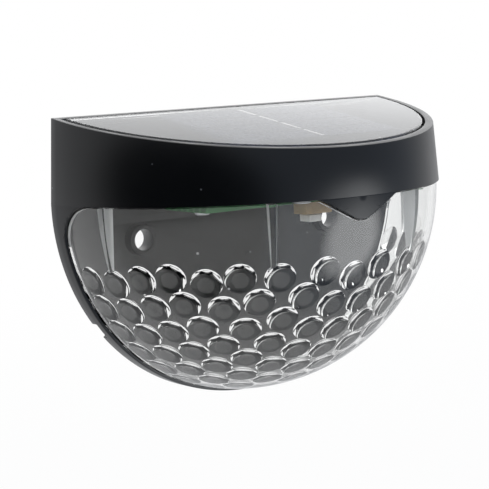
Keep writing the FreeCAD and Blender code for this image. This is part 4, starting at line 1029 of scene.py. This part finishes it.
def set_camera():
    """The photograph's viewpoint: azimuth from the front, height angle and a small roll."""
    across = Vector((math.cos(CAMERA_AZIMUTH), math.sin(CAMERA_AZIMUTH), 0))
    ahead = Vector((-math.sin(CAMERA_AZIMUTH) * math.cos(CAMERA_HEIGHT_ANGLE),
                    math.cos(CAMERA_AZIMUTH) * math.cos(CAMERA_HEIGHT_ANGLE),
                    -math.sin(CAMERA_HEIGHT_ANGLE)))
    upright = across.cross(ahead)
    right = across * math.cos(CAMERA_ROLL) + upright * math.sin(CAMERA_ROLL)
    up = upright * math.cos(CAMERA_ROLL) - across * math.sin(CAMERA_ROLL)
    data = bpy.data.cameras.new("camera")
    data.lens = CAMERA_LENS
    data.sensor_width = CAMERA_SENSOR
    camera = bpy.data.objects.new("camera", data)
    bpy.context.scene.collection.objects.link(camera)
    turned = Matrix((right, up, -ahead)).transposed().to_4x4()
    camera.matrix_world = Matrix.Translation(CAMERA_PLACE) @ turned
    bpy.context.scene.camera = camera


def area_light(name, place, target, size, power):
    data = bpy.data.lights.new(name, "AREA")
    data.shape = "RECTANGLE"
    data.size, data.size_y = size
    data.energy = power
    lamp = bpy.data.objects.new(name, data)
    bpy.context.scene.collection.objects.link(lamp)
    lamp.location = place
    lamp.rotation_euler = (Vector(target) - Vector(place)).to_track_quat("-Z", "Y").to_euler()
    lamp.visible_camera = False


# What the object is lit by and mirrors: colours, directions, and the cosines between which
# each direction's part of the room fades in.
WHITE_SIDE = (0.74, 0.75, 0.77)
RIGHT_SIDE = (0.44, 0.50, 0.60)
DARK_CORNER = (0.022, 0.025, 0.030)
RIGHT_WAY = (0.42, -0.907, 0.0)
DARK_WAY = (-0.87, -0.43, -0.24)
WINDOW_WAY = (0.56, -0.724, -0.403)
RIGHT_FADE = (0.2, 0.8)
DARK_FADE = (0.52, 0.82)
WINDOW_FADE = (0.93, 0.985)
WINDOW = (3.6, 3.7, 3.8)

FLOOR_SIZE = 8.0
FLOOR_LEVEL = -0.14
FLOOR_GLOW = 0.93                 # share of the floor's white that glows, close by
FLOOR_GLOW_RISE = 0.07
FLOOR_FADE = (0.25, 1.0)          # metres from the object


def studio_world():
    """White to the camera and through clear plastic. To the object it is a white room with a
    greyer right side, one dark corner and a window low on the right."""
    world = bpy.data.worlds.new("studio")
    bpy.context.scene.world = world
    world.use_nodes = True
    room = Finish("studio", world.node_tree)
    way = room.add("ShaderNodeTexCoord", output="Generated")

    def facing(direction, low, high):
        along = room.add("ShaderNodeVectorMath", {"operation": "DOT_PRODUCT"},
                         {0: way, 1: direction}, "Value")
        return room.add("ShaderNodeMapRange", {"interpolation_type": "SMOOTHSTEP"},
                        {0: along, 1: low, 2: high})

    def sky(strengths):
        return room.add("ShaderNodeBackground", None, {"Color": colour(*strengths), "Strength": 1.0})

    walls = room.mix(facing(RIGHT_WAY, *RIGHT_FADE), sky(WHITE_SIDE), sky(RIGHT_SIDE))
    walls = room.mix(facing(DARK_WAY, *DARK_FADE), walls, sky(DARK_CORNER))
    walls = room.mix(facing(WINDOW_WAY, *WINDOW_FADE), walls, sky(WINDOW))
    room.close(room.mix(room.seen(), walls, sky((1.0, 1.0, 1.0))), "ShaderNodeOutputWorld")


def pale_floor():
    """Nearly white to the camera, with the object's shadow, and no part of any reflection."""
    bpy.ops.mesh.primitive_plane_add(size=FLOOR_SIZE, location=(0, 0, FLOOR_LEVEL))
    floor = new_piece("floor")
    finish = Finish("pale_floor")
    mottle = finish.noise(0.2, 3.0)
    base = finish.blend(mottle, (0.86, 0.86, 0.86), (0.9, 0.9, 0.9))
    matt = finish.principled(Base_Color=base, Roughness=0.9)
    glow = finish.add("ShaderNodeEmission", None, {"Color": colour(1, 1, 1), "Strength": 1.0})
    far = finish.add("ShaderNodeVectorMath", {"operation": "LENGTH"}, {0: finish.place}, "Value")
    share = finish.seen() * (finish.ramp(far, *FLOOR_FADE) * FLOOR_GLOW_RISE + FLOOR_GLOW)
    ground = finish.mix(share, matt, glow)
    open_air = finish.add("ShaderNodeBsdfTransparent", None, {"Color": colour(1, 1, 1)})
    finish.close(finish.mix(finish.ray("Glossy"), ground, open_air))
    floor.data.materials.append(finish.material)


def light_studio():
    studio_world()
    pale_floor()
    centre = (0, -0.03, 0)
    area_light("backdrop_light", (0.75, 1.0, 0.55), centre, (1.6, 0.9), 3.6)
    area_light("top_softbox", (-0.1, -0.25, 1.1), centre, (0.9, 0.7), 0.8)


# ---------------------------------------------------------------- whole scene
set_camera()
stand_for(model_housing(), "housing")
lens = model_lens()
stand_for(lens, "lens", "lens")
mark_painted_highlight_faces(lens)
stand_for(model_epoxy(), "panel_epoxy")
switch_block, switch_grip = model_switch()
stand_for(switch_block, "switch_body")
stand_for(switch_grip, "switch_knob", "knob")
stand_for(model_tray_screws(), "tray_screws")
stand_for(model_board_screws(), "board_screws")
leds = model_leds()
stand_for(leds, "leds")
mark_led_faces(leds)
dress_plain_nodes({"housing", "lens", "panel_epoxy", "switch_body", "switch_knob", "tray_screws",
                   "board_screws", "leds"})
light_studio()

bpy.context.scene.view_settings.view_transform = "Standard"
